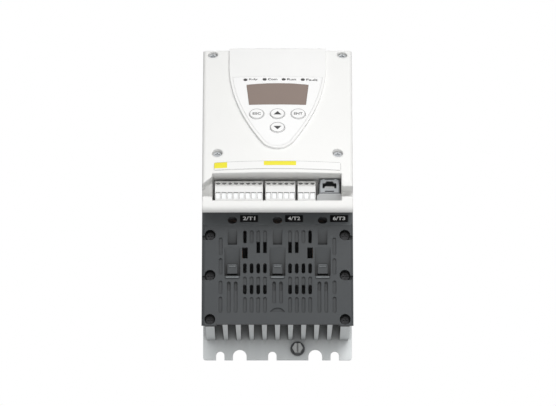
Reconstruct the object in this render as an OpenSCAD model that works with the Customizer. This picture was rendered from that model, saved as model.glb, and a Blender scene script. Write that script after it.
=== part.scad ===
// Wall-mounted three-phase soft starter.
// X runs to the right, the front faces -Y and Z is up. The origin lies on the wall,
// in the middle of the four fixing points of the mounting plate.
// Inside the modules, depth is counted from the wall and height from the plate's lower edge.

/* [Mounting plate] */
// Width of the plate
plate_w = 130; // [126:1:150]
// Height of the plate
plate_h = 265; // [262:1:285]
// Thickness of the plate
plate_t = 3; // [2:0.5:5]
// Corner radius of the plate
plate_corner_r = 2.5; // [1:0.5:5]
// Distance between the left and right fixing points
fixing_pitch_x = 100; // [90:1:104]
// Distance between the upper and lower fixing points
fixing_pitch_z = 250; // [244:1:252]
// Upper fixing points below the plate's upper edge
fixing_top_edge = 10.9; // [8:0.1:13]
// Diameter of the upper fixing holes
fixing_hole_d = 7; // [5:0.5:8]
// Width of the open slots for the fixing screws
fixing_slot_w = 7.3; // [5:0.1:9]
// Sideways place of the middle slot
middle_slot_x = -4.5; // [-9:0.5:0]
// Width of the two wide slots
wide_slot_w = 12; // [8:0.5:13]
// Sideways place of the wide slots
wide_slot_x = 33; // [30:0.5:36]
// Depth of the straight part of the wide slots
wide_slot_z = 3.3; // [2:0.1:5]

/* [Earth screw] */
// Sideways place of the earth screw
earth_x = 17.5; // [14:0.5:19]
// Height of the earth screw
earth_z = 9.7; // [9:0.1:10.5]
// Thread diameter of the earth screw
earth_d = 5; // [4:0.5:6]
// Width across the flats of its head
earth_flats = 8; // [7:0.5:10]
// Height of its head
earth_head_h = 4.2; // [3:0.2:6]
// Diameter of its washer
earth_washer_d = 12.5; // [11:0.5:13.5]
// Thickness of its washer
earth_washer_t = 1.2; // [0.8:0.1:2]

/* [Heat sink] */
// Width of the sink
sink_w = 123.6; // [120:0.2:125]
// Length of the extrusion
sink_h = 186; // [180:1:190]
// Height of the sink's lower end
sink_z = 17.4; // [17:0.2:19]
// Depth of the fins
fin_depth = 70; // [60:1:76]
// Thickness of the sink's front plate
sink_base_t = 6; // [4:0.5:9]
// Thickness of the two side walls
sink_wall_t = 7.6; // [5:0.2:9]
// Number of fins
fin_count = 9; // [6:1:11]
// Fin thickness at the root
fin_root_t = 4.5; // [3.5:0.1:5.5]
// Fin thickness at the tip
fin_tip_t = 3.4; // [2:0.1:3.5]

/* [Shells] */
// Width of cover and hood where they meet the sink
shell_w = 129; // [127.6:0.2:131]
// Sideways draft of the shells, in mm for each mm of depth
shell_draft = 0.0168; // [0:0.001:0.02]
// Wall of the moulded shells
shell_wall = 2.5; // [2:0.1:3]
// Rounding of the upright front edges
shell_edge_r = 3; // [2.6:0.2:4]

/* [Terminal cover] */
// Depth of the cover in front of the sink
cover_depth = 69; // [64:1:72]
// Height of the cover's lower edge
cover_z = 0.9; // [0.8:0.1:2]
// How far the lower corners reach down past that edge
cover_lug_drop = 0.8; // [0.2:0.1:1.2]
// Rise of the side walls' lower edge towards the sink
side_rise = 17.5; // [14:0.5:18.5]
// Inner edge of the lower corners
cover_lug_x = 52; // [50:0.5:54]
// Height of the fold where the face turns back
fold_z = 86; // [85:0.5:88]
// Rise of the folded strip
strip_rise = 12.5; // [11:0.5:13]
// Set-back of the folded strip
strip_back = 7.5; // [6:0.5:9]
// Distance between the poles
pole_pitch = 37.8; // [37:0.2:38.4]
// Width of a vent slot
vent_w = 3; // [2:0.2:3.6]
// Distance between the vent columns
vent_pitch = 5.6; // [5.2:0.1:5.8]
// First vent column beside the middle pole
vent_first_x = 10.5; // [10:0.1:11]
// Depth of the shallow grooves
groove_depth = 1; // [0.5:0.1:1.5]
// Sideways place of the side grooves
side_groove_x = 47.6; // [47:0.2:48]
// Sideways place of the grooves beside each pole
pole_groove_x = 2.85; // [2.6:0.05:3.2]
// Diameter of the sight holes in the strip
sight_hole_d = 8; // [6:0.5:9]
// Width of the finger pockets
finger_w = 7.75; // [6:0.25:9]
// Depth of the finger pockets
finger_depth = 5; // [3:0.5:7]
// Width of the latch recesses
latch_w = 13.1; // [11:0.1:14]
// Depth of the latch recesses
latch_depth = 6; // [4:0.5:8]
// Width of the latch tongues
latch_tongue_w = 8.4; // [6:0.2:10]

/* [Phase markers] */
// Width of a marker plate
marker_w = 14.8; // [12:0.2:16]
// Height of a marker plate
marker_h = 7.6; // [6:0.2:9]
// Thickness of a marker plate
marker_t = 0.6; // [0.4:0.1:1]
// Left edge of a marker plate from its pole
marker_dx = 6.5; // [6:0.1:8]

/* [Control hood] */
// Depth of the middle of the sloping front, in front of the sink
crown_out = 51.3; // [49:0.1:53]
// Height of the middle of the sloping front
crown_z = 194.9; // [193:0.1:197]
// Slope of the front, in degrees back from upright
hood_tilt = 32; // [31:0.5:33]
// Crown radius of the front
crown_r = 650; // [560:10:800]
// Height of the hood's top
hood_top_z = 257.5; // [256:0.5:259]
// Rounding between front and top
hood_top_r = 10; // [6:1:14]
// Gap between cover and hood
hood_gap = 2; // [1:0.5:3]
// Depth of the lower lip in front of the sink
lip_out = 89; // [87:0.5:91]
// Height of the lip's lower face
lip_z = 93; // [92:0.5:94.5]
// Rounding under the lip
lip_r = 5; // [3:0.5:6]
// Height of the recess floor, on top of the lip
recess_z = 102.2; // [101.6:0.1:102.8]
// Height of the recess
recess_h = 23.8; // [23.2:0.1:24.4]
// Depth of the recess's back wall in front of the sink
recess_back = 59; // [58:0.5:61]
// Left end of the recess
recess_left = -54.5; // [-56:0.5:-54]
// Right end of the recess
recess_right = 53.5; // [53.2:0.1:56]
// Roll radius of the hood's lower edge
roll_r = 1.2; // [1:0.1:2]
// Height of the wire way above the recess floor
wireway_up = 3.5; // [3:0.1:4.5]
// Height of the wire way
wireway_h = 8.5; // [6:0.5:10]

/* [Label strip] */
// Width of the label strip over the plugs
label_w = 106.6; // [102:0.2:109]
// Height of the label strip
label_h = 8.8; // [8:0.1:9.4]
// Lower edge of the label strip, up the slope
label_y = -74.1; // [-74.3:0.1:-73.4]
// Corner radius of the label strip
label_r = 1.5; // [0.8:0.1:2.5]

/* [Display panel] */
// How far the panel stands proud of the hood
panel_raise = 2; // [1.8:0.1:2.6]
// Half width of the panel at its top
panel_half_w = 41.5; // [40:0.1:42.5]
// Radius of the panel's sides
panel_side_r = 180; // [175:1:190]
// Where the sides turn straight, up the slope
panel_straight_y = 52.2; // [51.4:0.1:53]
// Radius of the panel's lower tip
panel_tip_r = 15.5; // [14:0.5:17]
// Rim of the panel around the film
film_rim = 2.4; // [2.2:0.1:3]
// Rim of the hood that carries the panel
aperture_rim = 2.2; // [1.8:0.1:2.4]
// Upper edge of the film, up the slope
film_top_y = 36; // [35.2:0.1:37.5]
// Thickness of the film
film_t = 0.4; // [0.3:0.05:0.6]
// Width of the window's upper edge
window_top_w = 53; // [50:0.2:55]
// Width of the window's lower edge
window_low_w = 48.2; // [46:0.2:52]
// Lower edge of the window, up the slope
window_y = -0.8; // [-1.4:0.1:-0.2]
// Height of the window
window_h = 27.5; // [25:0.1:28]
// Thickness of the window
window_t = 1.5; // [1.2:0.1:1.7]
// Diameter of the indicator lamps
led_d = 3.3; // [2.5:0.1:4]
// Height of the row of lamps, up the slope
led_y = 32.1; // [31.4:0.1:32.8]
// Distance between the lamps
led_pitch = 16.4; // [15.5:0.1:17]
// Sideways place of the first lamp
led_x = -27.5; // [-28:0.1:-26]
// Depth of the keypad board behind the front
keypad_board_z = 12.4; // [11.5:0.1:14]

/* [Keys] */
// Diameter of a key
key_d = 12.4; // [11:0.1:12.8]
// Sideways distance between the keys
key_dx = 17.6; // [17:0.1:18.3]
// Row of the upper keys, up the slope
key_y = -12.4; // [-13:0.1:-12]
// Step down to the lower key
key_dy = 16.6; // [15.8:0.1:17.2]
// How far a key stands proud of the film
key_proud = 0.5; // [0.3:0.1:0.7]
// Travel of a key
key_travel = 0.8; // [0.5:0.1:1]
// Rim under a key that holds it in
key_rim = 0.8; // [0.6:0.1:1]

/* [Control terminals] */
// Distance between the ways of a plug
way_pitch = 5; // [4.9:0.02:5.08]
// Middle of the 8-way plug
plug_8way_x = -32.3; // [-32.6:0.1:-32]
// Middle of the 5-way plug
plug_5way_x = 2.4; // [2.2:0.1:2.6]
// Middle of the 3-way plug
plug_3way_x = 24.4; // [24.2:0.1:24.5]
// Depth of the plugs' front in front of the sink
plug_out = 81; // [80:0.5:83]
// Length of a plug
plug_len = 16; // [15:0.5:17]
// Height of a plug
plug_h = 19.4; // [18.6:0.1:20]
// Height of the plugs above the recess floor
plug_up = 1.4; // [1:0.1:2]
// Set-back of the sloping screw face
plug_bevel_d = 8; // [7:0.2:9]
// Height of the sloping screw face
plug_bevel_h = 6.6; // [6:0.2:7.4]
// Diameter of the clamp screw holes
clamp_hole_d = 3.6; // [3:0.1:4]
// Width of the wire entries
entry_w = 4; // [3:0.1:4.2]
// Height of the wire entries
entry_h = 5.6; // [5:0.1:6.4]
// Height of the wire entries above the plug's lower face
entry_up = 2.1; // [1.6:0.1:2.6]
// Set-back of the metal clamps in the wire entries
clamp_back = 1.2; // [0.8:0.1:3]
// Side of the square contact pins
pin_w = 1; // [0.8:0.1:1.2]
// Thickness of the circuit boards
board_t = 1.6; // [1:0.1:2]
// Depth of the control board in front of the sink
control_board_out = 49; // [47:0.5:51]

/* [Data jack] */
// Middle of the jack
jack_x = 43.7; // [43:0.1:44]
// Width of the jack
jack_w = 17.4; // [16:0.1:18]
// Height of the jack
jack_h = 12.6; // [12:0.1:13.4]
// Height of the jack above the recess floor
jack_up = 10.4; // [9.8:0.1:10.6]
// Depth of the jack's face in front of the sink
jack_out = 71; // [69:0.5:73]
// Width of the socket
socket_w = 11.8; // [10:0.1:12.4]
// Height of the socket
socket_h = 7; // [6:0.1:8]
// Depth of the socket
socket_depth = 12; // [9:0.5:14]

/* [Power parts] */
// Thickness of the power base
base_t = 4; // [3:0.5:5]
// Upper edge of the power base under the hood's top wall
base_drop = 3.5; // [3:0.1:5]
// Width of a thyristor module
module_w = 28; // [26:0.5:29]
// Distance between the thyristor modules
module_pitch = 30.6; // [30:0.1:31]
// Height of a thyristor module
module_h = 92; // [86:1:94]
// Depth of a thyristor module
module_depth = 22; // [20:0.5:22.5]
// Height of the modules' lower end
module_z = 104; // [102:0.5:106]
// Width of a busbar
bar_w = 16; // [12:0.5:18]
// Thickness of a busbar
bar_t = 3; // [2:0.5:4]
// How far a busbar laps onto its module
bar_lap = 12; // [10:0.5:15]
// Height of the motor terminals
motor_terminal_z = 40; // [38:0.5:44]
// Height of the line terminals
line_terminal_z = 230; // [228:0.5:234]
// Thread diameter of the power terminals
stud_d = 6; // [5:0.5:6.5]
// Height of the line block
line_block_h = 38; // [36:0.5:39]
// Width of a cable pocket
pocket_w = 28; // [24:0.5:30]
// Height of a bypass relay
relay_h = 30; // [26:0.5:32]
// How far a bypass relay stands out of its module
relay_out = 14; // [11:0.5:15]

/* [Screws] */
// Diameter of the deep screw wells in the cover
well_d = 9; // [8:0.1:9.4]
// Depth of the screw wells in the cover
well_depth = 8; // [6:0.5:9]
// Cover screws sideways, in from the side of the shell
cover_screw_x = 8.1; // [7.9:0.1:8.5]
// Lower row of cover screws above the cover's lower edge
cover_screw_low = 4.2; // [4:0.1:4.8]
// Middle row of cover screws above that edge
cover_screw_mid = 41.9; // [41.2:0.1:42.6]
// Upper row of cover screws above that edge
cover_screw_high = 76.4; // [75.2:0.1:77]
// Upper hood screws sideways, in from the side of the shell
hood_screw_top_x = 8.5; // [8.3:0.1:8.9]
// Upper hood screws up the slope
hood_screw_top_y = 72; // [71:0.1:72.4]
// Lower hood screws sideways, in from the side of the shell
hood_screw_low_x = 13.9; // [13.4:0.1:14]
// Lower hood screws up the slope
hood_screw_low_y = -54.5; // [-55.2:0.1:-54]
// Diameter of the screw wells in the hood
hood_well_d = 8.6; // [7:0.1:9]
// Wall of the bosses around the screws
boss_wall = 1.6; // [1.2:0.1:2]
// Depth of the screw wells in the hood
hood_well_depth = 4.5; // [3.5:0.5:5]
// Head diameter of the case screws
screw_head_d = 6.6; // [5.5:0.1:7]
// Head height of the case screws
screw_head_h = 2.4; // [1.8:0.1:2.8]
// Thread diameter of the case screws
screw_d = 3.5; // [3:0.1:4]
// Thread length of the case screws
screw_len = 9; // [7:0.5:10]

/* [Clearances] */
// Running gap around what moves
running_gap = 0.35; // [0.3:0.05:0.5]
// Small gap between pieces that seat on each other
seat_gap = 0.15; // [0.1:0.05:0.25]
// Gap above and below the level run of the line bars
bar_lift = 1; // [0.8:0.1:1.2]

/* [Hidden] */

$fn = 48;
over = 1;
far = 200;

// Heights on the plate
fixing_top_z = plate_h - fixing_top_edge;
fixing_low_z = fixing_top_z - fixing_pitch_z;
pattern_z = (fixing_top_z + fixing_low_z) / 2;

// Depths from the wall
sink_front = plate_t + fin_depth + sink_base_t;
base_front = sink_front + base_t;
cover_front = sink_front + cover_depth;
strip_top_z = fold_z + strip_rise;
strip_top_d = cover_front - strip_back;
strip_tilt = atan(strip_back / strip_rise);
module_front = sink_front + module_depth;
crown_d = sink_front + crown_out;
lip_front = sink_front + lip_out;
recess_d = sink_front + recess_back;
recess_top = recess_z + recess_h;
plug_front = sink_front + plug_out;
plug_back = plug_front - plug_len;
plug_z = recess_z + plug_up;
control_board_d = sink_front + control_board_out;
jack_front = sink_front + jack_out;
jack_z = recess_z + jack_up;
hood_low_z = strip_top_z + hood_gap;

// Centre of the sphere that crowns the hood, as depth and height
crown_centre_d = crown_d - crown_r * cos(hood_tilt);
crown_centre_z = crown_z - crown_r * sin(hood_tilt);

poles = [-pole_pitch, 0, pole_pitch];
module_places = [-module_pitch, 0, module_pitch];
cover_screw_rows = [cover_z + cover_screw_low, cover_z + cover_screw_mid, cover_z + cover_screw_high];
hood_screw_places = [
    [shell_w / 2 - hood_screw_top_x, hood_screw_top_y],
    [shell_w / 2 - hood_screw_low_x, hood_screw_low_y]
];
vent_columns = [for (i = [0:3]) vent_first_x + i * vent_pitch];

// Lower and upper ends of the vents and grooves in the cover's face
function on_cover(low, high) = [cover_z + low, cover_z + high];
low_groove = on_cover(9.6, 23);
low_vent = on_cover(25.5, 33.9);
mid_groove = on_cover(30, 40.6);
mid_vent = on_cover(43.4, 52);
outer_window = on_cover(56.3, 65.6);
inner_window = on_cover(60.9, 70.7);
high_groove = on_cover(69.2, 80.3);
side_grooves = [on_cover(9.6, 23.4), on_cover(25.6, 37.2), on_cover(42.3, 56.3), on_cover(59, 74.1)];
pole_groove = on_cover(9.6, 36.4);
middle_pole_groove = on_cover(17.6, 36.4);
pole_step = on_cover(28.5, 35.8);

function shell_half(d) = shell_w / 2 - (d - sink_front) * shell_draft;
function slope_drop(x, y) = (x * x + y * y) / (2 * crown_r);

// Frames and small helpers

module wall_frame() { translate([0, 0, -pattern_z]) children(); }

// An outline in width and height, from depth d0 to depth d1
module slab(d0, d1) {
    translate([0, -d0, 0]) rotate([90, 0, 0]) linear_extrude(d1 - d0) children();
}

// An outline in depth and height, from x0 to x1
module side(x0, x1) {
    translate([x1, 0, 0]) rotate([90, 0, -90]) linear_extrude(x1 - x0) children();
}

module block(x0, x1, d0, d1, z0, z1) {
    translate([x0, -d1, z0]) cube([x1 - x0, d1 - d0, z1 - z0]);
}

// A round rod or hole along the depth
module rod(x, z, d0, d1, dia) {
    translate([x, -d0, z]) rotate([90, 0, 0]) cylinder(d = dia, h = d1 - d0);
}

// The hood's sloping front: X across, Y up the slope, Z straight out of it
module slope_frame() {
    translate([0, -crown_d, crown_z]) rotate([90 - hood_tilt, 0, 0]) children();
}

// The folded strip of the terminal cover, from the fold upwards
module strip_frame() {
    translate([0, -cover_front, fold_z]) rotate([90 - strip_tilt, 0, 0]) children();
}

// Upright slot with round ends
module stadium(x, ends, w) {
    translate([x - w / 2, ends[0] + w / 2]) square([w, ends[1] - ends[0] - w]);
    translate([x, ends[0] + w / 2]) circle(d = w);
    translate([x, ends[1] - w / 2]) circle(d = w);
}

// Upright slot with square ends
module oblong(x, ends, w) {
    translate([x - w / 2, ends[0]]) square([w, ends[1] - ends[0]]);
}

module rounded_rect(x0, x1, z0, z1, r) {
    translate([x0 + r, z0]) square([x1 - x0 - 2 * r, z1 - z0]);
    translate([x0, z0 + r]) square([x1 - x0, z1 - z0 - 2 * r]);
    for (x = [x0 + r, x1 - r], z = [z0 + r, z1 - r]) translate([x, z]) circle(r);
}

module edge_slot(x, w, z) {
    translate([x, z]) circle(d = w);
    translate([x - w / 2, -over]) square([w, z + over]);
}

// Mounting plate and earth connection

module mounting_plate() color("lightgray") wall_frame() {
    slab(0, plate_t) difference() {
        rounded_rect(-plate_w / 2, plate_w / 2, 0, plate_h, plate_corner_r);
        for (x = [-fixing_pitch_x / 2, middle_slot_x, fixing_pitch_x / 2])
            edge_slot(x, fixing_slot_w, fixing_low_z);
        for (s = [-1, 1]) edge_slot(s * wide_slot_x, wide_slot_w, wide_slot_z);
        for (s = [-1, 1]) translate([s * fixing_pitch_x / 2, fixing_top_z]) circle(d = fixing_hole_d);
        translate([earth_x, earth_z]) circle(d = earth_d + 2 * seat_gap);
    }
}

module earth_washer() color("silver") wall_frame() {
    difference() {
        rod(earth_x, earth_z, plate_t, plate_t + earth_washer_t, earth_washer_d);
        rod(earth_x, earth_z, plate_t - over, plate_t + earth_washer_t + over, earth_d + 2 * seat_gap);
    }
}

module earth_screw() color("silver") wall_frame() {
    head_d0 = plate_t + earth_washer_t;
    head_d1 = head_d0 + earth_head_h;
    slot_w = 1.4;
    rod(earth_x, earth_z, seat_gap, head_d0 + over, earth_d);
    difference() {
        translate([earth_x, -head_d0, earth_z]) rotate([90, 0, 0])
            cylinder(d = earth_flats / cos(30), h = earth_head_h, $fn = 6);
        block(earth_x - slot_w / 2, earth_x + slot_w / 2, head_d1 - slot_w, head_d1 + over,
            earth_z - earth_flats, earth_z + earth_flats);
    }
}

// Heat sink: one aluminium extrusion, fins towards the wall

module sink_section() {
    root_d = plate_t + fin_depth;
    fin_mean = (fin_root_t + fin_tip_t) / 2;
    fin_pitch = (sink_w - 2 * sink_wall_t + fin_mean) / (fin_count + 1);
    translate([-sink_w / 2, -sink_front]) square([sink_w, sink_base_t]);
    for (s = [-1, 1])
        translate([s * (sink_w - sink_wall_t) / 2 - sink_wall_t / 2, -root_d - over])
            square([sink_wall_t, fin_depth + over]);
    for (i = [0:fin_count - 1]) {
        x = (i - (fin_count - 1) / 2) * fin_pitch;
        polygon([
            [x - fin_root_t / 2, -root_d - over], [x + fin_root_t / 2, -root_d - over],
            [x + fin_tip_t / 2, -plate_t], [x - fin_tip_t / 2, -plate_t]
        ]);
    }
}

module heat_sink() color("silver") wall_frame() {
    translate([0, 0, sink_z]) linear_extrude(sink_h) sink_section();
}

// Power base: moulded carrier on the sink with terminal pillars and screw cheeks

base_half = shell_w / 2 - shell_wall - 3 * seat_gap;
base_top_z = hood_top_z - shell_wall - base_drop;
cheek_front = cover_front - well_depth - shell_wall;
cheek_x = shell_w / 2 - cover_screw_x;
post_x = hood_screw_places[1][0];
pillar_w = bar_w + 6;
motor_stud_reach = 12;
line_stud_reach = 4;
line_bar_d = sink_front - 17;
line_bar_z = sink_z + sink_h + bar_lift;
line_block_z = line_bar_z + bar_t + bar_lift;

module hood_post_outline() {
    seat = -slope_drop(post_x, hood_screw_places[1][1]) - hood_well_depth - shell_wall - seat_gap;
    half = 6;
    low = hood_screw_places[1][1] - half;
    high = hood_screw_places[1][1] + half;
    ends = [for (y = [low, high]) [
        crown_d - y * sin(hood_tilt) + seat * cos(hood_tilt),
        crown_z + y * cos(hood_tilt) + seat * sin(hood_tilt)
    ]];
    polygon([
        [base_front - over, ends[0][1] - 8], [ends[0][0] - 5, ends[0][1] - 8], ends[0], ends[1],
        [base_front - over, ends[1][1]]
    ]);
}

module cheek_outline() {
    row = cover_screw_rows;
    polygon([
        [base_front - over, sink_z + 3], [cheek_front - 8, row[0] - 1], [cheek_front, row[0] - 1],
        [cheek_front, row[2] + 4], [base_front - over, row[2] + 4]
    ]);
    translate([cheek_front - 4, row[0] - 3.2]) square([4, 6]);
}

module screw_pilot(x, z) {
    rod(x, z, cheek_front - screw_len - over, cheek_front + over, screw_d + 2 * seat_gap);
}

module power_base() color("dimgray") wall_frame() {
    window_gap = 2;
    room = module_pitch + module_w / 2 + 0.9;
    difference() {
        union() {
            slab(sink_front, base_front) difference() {
                rounded_rect(-base_half, base_half, sink_z, base_top_z, shell_edge_r);
                for (x = module_places)
                    translate([x - module_w / 2 - window_gap, module_z - window_gap])
                        square([module_w + 2 * window_gap, module_h + 2 * window_gap + relay_h]);
            }
            for (x = poles)
                block(x - pillar_w / 2, x + pillar_w / 2, base_front - over, module_front,
                    sink_z + 8, strip_top_z - 8);
            for (s = [-1, 1]) side(s * cheek_x - 4, s * cheek_x + 4) cheek_outline();
            for (s = [-1, 1]) side(s * post_x - 5, s * post_x + 5) hood_post_outline();
        }
        for (x = poles)
            rod(x, motor_terminal_z, module_front - motor_stud_reach - 4, module_front + over,
                stud_d + 2 * seat_gap);
        for (s = [-1, 1], z = cover_screw_rows) screw_pilot(s * cheek_x, z);
        block(-room, room, base_front, module_front + relay_out + window_gap,
            module_z - window_gap, module_z + module_h + window_gap);
        for (s = [-1, 1]) {
            hood_boss_cylinder(s, hood_screw_places[0], 2 * seat_gap);
            for (p = hood_screw_places) hood_screw_bore(s, p, screw_d + 2 * seat_gap, screw_len + over);
        }
    }
}

// Bore along the slope's own direction, from the floor of a hood screw well inwards
module hood_screw_bore(s, p, dia, depth) {
    seat = -slope_drop(p[0], p[1]) - hood_well_depth;
    slope_frame() translate([s * p[0], p[1], seat - depth]) cylinder(d = dia, h = depth);
}

// Terminal cover: vented shell over the motor terminals

module cover_side_outline(inset, low) {
    front = cover_front - inset;
    top = strip_top_z - inset;
    knee = fold_z - inset * tan(strip_tilt / 2);
    polygon([
        [sink_front - (inset > 0 ? over : 0), low], [front, low], [front, knee],
        [front - (top - knee) * tan(strip_tilt), top], [sink_front - (inset > 0 ? over : 0), top]
    ]);
}

module cover_plan(inset) {
    front = cover_front - inset;
    r = shell_edge_r - inset;
    edge = shell_half(front - r) - inset - r;
    back = sink_front - (inset > 0 ? over : 0);
    difference() {
        polygon([
            [-shell_half(back) + inset, -back], [shell_half(back) - inset, -back],
            [shell_half(front) - inset, -front], [-shell_half(front) + inset, -front]
        ]);
        for (s = [-1, 1]) translate([s * (edge + r), -front]) square(2 * r, center = true);
    }
    for (s = [-1, 1]) translate([s * edge, r - front]) circle(r);
}

module cover_form(inset, low) {
    intersection() {
        side(-shell_w, shell_w) cover_side_outline(inset, low);
        translate([0, 0, low - over]) linear_extrude(far) cover_plan(inset);
    }
}

// Pocket in the face with a floor that sinks towards its lower end
module sunk_outline(z0, z1, depth) {
    front = cover_front + over;
    polygon([[front, z1], [cover_front, z1], [cover_front - depth, z0], [front, z0]]);
}

module sunk_backing(z0, z1, depth) {
    back = cover_front - depth - boss_wall;
    front = cover_front - shell_wall / 2;
    polygon([[front, z1], [back, z0], [back, z0 - boss_wall], [front, z0 - boss_wall]]);
}

finger_low = fold_z - 17;
finger_high = fold_z - 3.8;
latch_low = cover_z + 41.4;
latch_high = cover_z + 65.9;

module through_vents() {
    window_w = 4.6;
    for (s = [-1, 1]) {
        stadium(s * vent_columns[3], high_groove, vent_w - 0.2);
        oblong(s * vent_columns[3], outer_window, window_w);
        for (i = [0, 1]) oblong(s * vent_columns[i], inner_window, vent_w);
        for (x = vent_columns) {
            stadium(s * x, mid_vent, vent_w);
            stadium(s * x, low_vent, vent_w);
        }
    }
}

module shallow_grooves() {
    for (s = [-1, 1]) {
        for (i = [0:2]) stadium(s * vent_columns[i], high_groove, vent_w);
        for (x = vent_columns) {
            stadium(s * x, mid_groove, vent_w);
            stadium(s * x, low_groove, vent_w);
        }
        for (row = side_grooves) stadium(s * side_groove_x, row, vent_w);
    }
    for (x = poles, s = [-1, 1])
        stadium(x + s * pole_groove_x, x == 0 ? middle_pole_groove : pole_groove, vent_w);
    thumb_mark();
}

// Shallow half-moon under the middle pole
module thumb_mark() {
    mark_r = 7.2;
    translate([0, low_groove[0] + 0.9]) intersection() {
        translate([0, -mark_r / 2]) circle(mark_r);
        translate([-mark_r, 0]) square([2 * mark_r, mark_r]);
    }
}

module pole_grooves() {
    for (x = poles, s = [-1, 1]) stadium(x + s * pole_groove_x, pole_step, vent_w - 0.6);
}

module cover_screw_boss(s, z) {
    boss_r = well_d / 2 + boss_wall;
    intersection() {
        union() {
            rod(s * cheek_x, z, cheek_front, cover_front, 2 * boss_r);
            block(min(s * cheek_x, s * shell_w), max(s * cheek_x, s * shell_w),
                cheek_front, cover_front, z - boss_r + 0.4, z + 2);
        }
        cover_form(0, cover_z - cover_lug_drop);
    }
}

module cover_screw_well(s, z, side_open) {
    well_front = cover_front - well_depth;
    rod(s * cheek_x, z, well_front, cover_front + over, well_d);
    rod(s * cheek_x, z, cheek_front - over, cover_front, screw_d + 4 * seat_gap);
    if (side_open)
        block(min(s * cheek_x, s * shell_w), max(s * cheek_x, s * shell_w),
            cover_front - 5, cover_front + over, z - well_d / 2 + 0.3, z - 0.4);
}

module bar_notch(x) {
    gap = 1;
    block(x - bar_w / 2 - gap, x + bar_w / 2 + gap, sink_front - over, module_front + bar_t + gap,
        strip_top_z - shell_wall - over, strip_top_z + over);
}

// Room in the cover's top wall for the edge of the power base
module base_edge_notch() {
    half = base_half + 2 * seat_gap;
    block(-half, half, sink_front - over, base_front + 2 * seat_gap,
        strip_top_z - shell_wall - over, strip_top_z + over);
}

// What the side walls leave free under their rising lower edge
module side_rise_outline(low) {
    polygon([
        [sink_front - over, low - over], [cover_front - shell_edge_r, low - over],
        [cover_front - shell_edge_r, low], [sink_front - over, low + side_rise]
    ]);
}

module terminal_cover() color("darkslategray") wall_frame() {
    low = cover_z - cover_lug_drop;
    difference() {
        union() {
            difference() {
                cover_form(0, low);
                cover_form(shell_wall, low - over);
            }
            for (s = [-1, 1], z = cover_screw_rows) cover_screw_boss(s, z);
            for (x = poles) {
                side(x - finger_w / 2 - boss_wall, x + finger_w / 2 + boss_wall)
                    sunk_backing(finger_low, finger_high, finger_depth);
                side(x - latch_w / 2 - boss_wall, x + latch_w / 2 + boss_wall)
                    sunk_backing(latch_low, latch_high, latch_depth);
                block(x - latch_w / 2 + 0.6, x + latch_w / 2 - 0.6, cover_front - over, cover_front + 0.7,
                    latch_low - 1.9, latch_low - 0.9);
            }
        }
        block(-cover_lug_x, cover_lug_x, sink_front - over, cover_front + over, low - over, cover_z);
        side(-shell_w, shell_w) side_rise_outline(low);
        base_edge_notch();
        slab(cover_front - shell_wall - over, cover_front + over) through_vents();
        slab(cover_front - groove_depth, cover_front + over) shallow_grooves();
        slab(cover_front - 2 * groove_depth, cover_front + over) pole_grooves();
        for (x = poles) {
            side(x - finger_w / 2, x + finger_w / 2) sunk_outline(finger_low, finger_high, finger_depth);
            side(x - latch_w / 2, x + latch_w / 2) sunk_outline(latch_low, latch_high, latch_depth);
            strip_frame() translate([x, 5.6, -shell_wall - over])
                cylinder(d = sight_hole_d, h = shell_wall + 2 * over);
            strip_frame() marker_seat(x, seat_gap, over);
            bar_notch(x);
        }
        for (s = [-1, 1], i = [0:2]) cover_screw_well(s, cover_screw_rows[i], i > 0);
    }
    for (x = poles)
        block(x - latch_tongue_w / 2, x + latch_tongue_w / 2,
            cover_front - latch_depth - 0.5, cover_front - 1, latch_low + 2, latch_low + 10);
}

module marker_seat(x, gap, up) {
    translate([x + marker_dx - gap, 3.6 - gap, -marker_t / 2])
        cube([marker_w + 2 * gap, marker_h + 2 * gap, marker_t / 2 + up]);
}

module phase_markers() color("black") wall_frame() {
    for (x = poles) strip_frame() marker_seat(x, 0, marker_t / 2);
}

module cover_screws() color("gray") wall_frame() {
    for (s = [-1, 1], z = cover_screw_rows)
        translate([s * cheek_x, -(cover_front - well_depth), z]) rotate([90, 0, 0]) case_screw();
}

// Pan-head screw, thread inwards, with a cross recess
module case_screw() {
    slot_w = 1.1;
    difference() {
        cylinder(d = screw_head_d, h = screw_head_h);
        for (a = [0, 90]) rotate(a) translate([-screw_head_d / 3, -slot_w / 2, screw_head_h / 2])
            cube([screw_head_d * 2 / 3, slot_w, screw_head_h]);
    }
    translate([0, 0, -screw_len]) cylinder(d = screw_d, h = screw_len + screw_head_h / 4);
}

// Control hood: crowned moulded shell

// Centre of the rounding between the crowned front and a level face at height z
function round_d(outset, r, z) =
    crown_centre_d + sqrt(pow(crown_r + outset - r, 2) - pow(z - crown_centre_z, 2));

// Side view of the hood without its crowned front, which the sphere cuts.
// The upper rounding stands a little proud of the crown, so that the sphere trims it.
module hood_side_outline(outset) {
    proud = 0.4;
    r = hood_top_r + outset;
    top = hood_top_z + outset;
    cz = top - r;
    cd = round_d(outset + proud, r, cz);
    out = [cd - crown_centre_d, cz - crown_centre_z] / norm([cd - crown_centre_d, cz - crown_centre_z]);
    lip = lip_front + outset;
    strip_clear = strip_top_d + hood_gap * tan(strip_tilt);
    difference() {
        polygon([
            [sink_front, hood_low_z - outset], [strip_clear, hood_low_z - outset],
            [lip - lip_r, lip_z - outset], [lip, lip_z - outset + lip_r], [lip, top], [sink_front, top]
        ]);
        polygon([[cd, cz], [cd, cz] + far * out, [cd + far, cz + far], [cd, cz + far]]);
    }
    intersection() {
        translate([cd, cz]) circle(r);
        translate([sink_front, cz - r]) square(far);
    }
    intersection() {
        translate([lip - lip_r, lip_z - outset + lip_r]) circle(lip_r);
        translate([lip - lip_r, lip_z - outset]) square([lip_r, lip_r]);
    }
}

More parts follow.
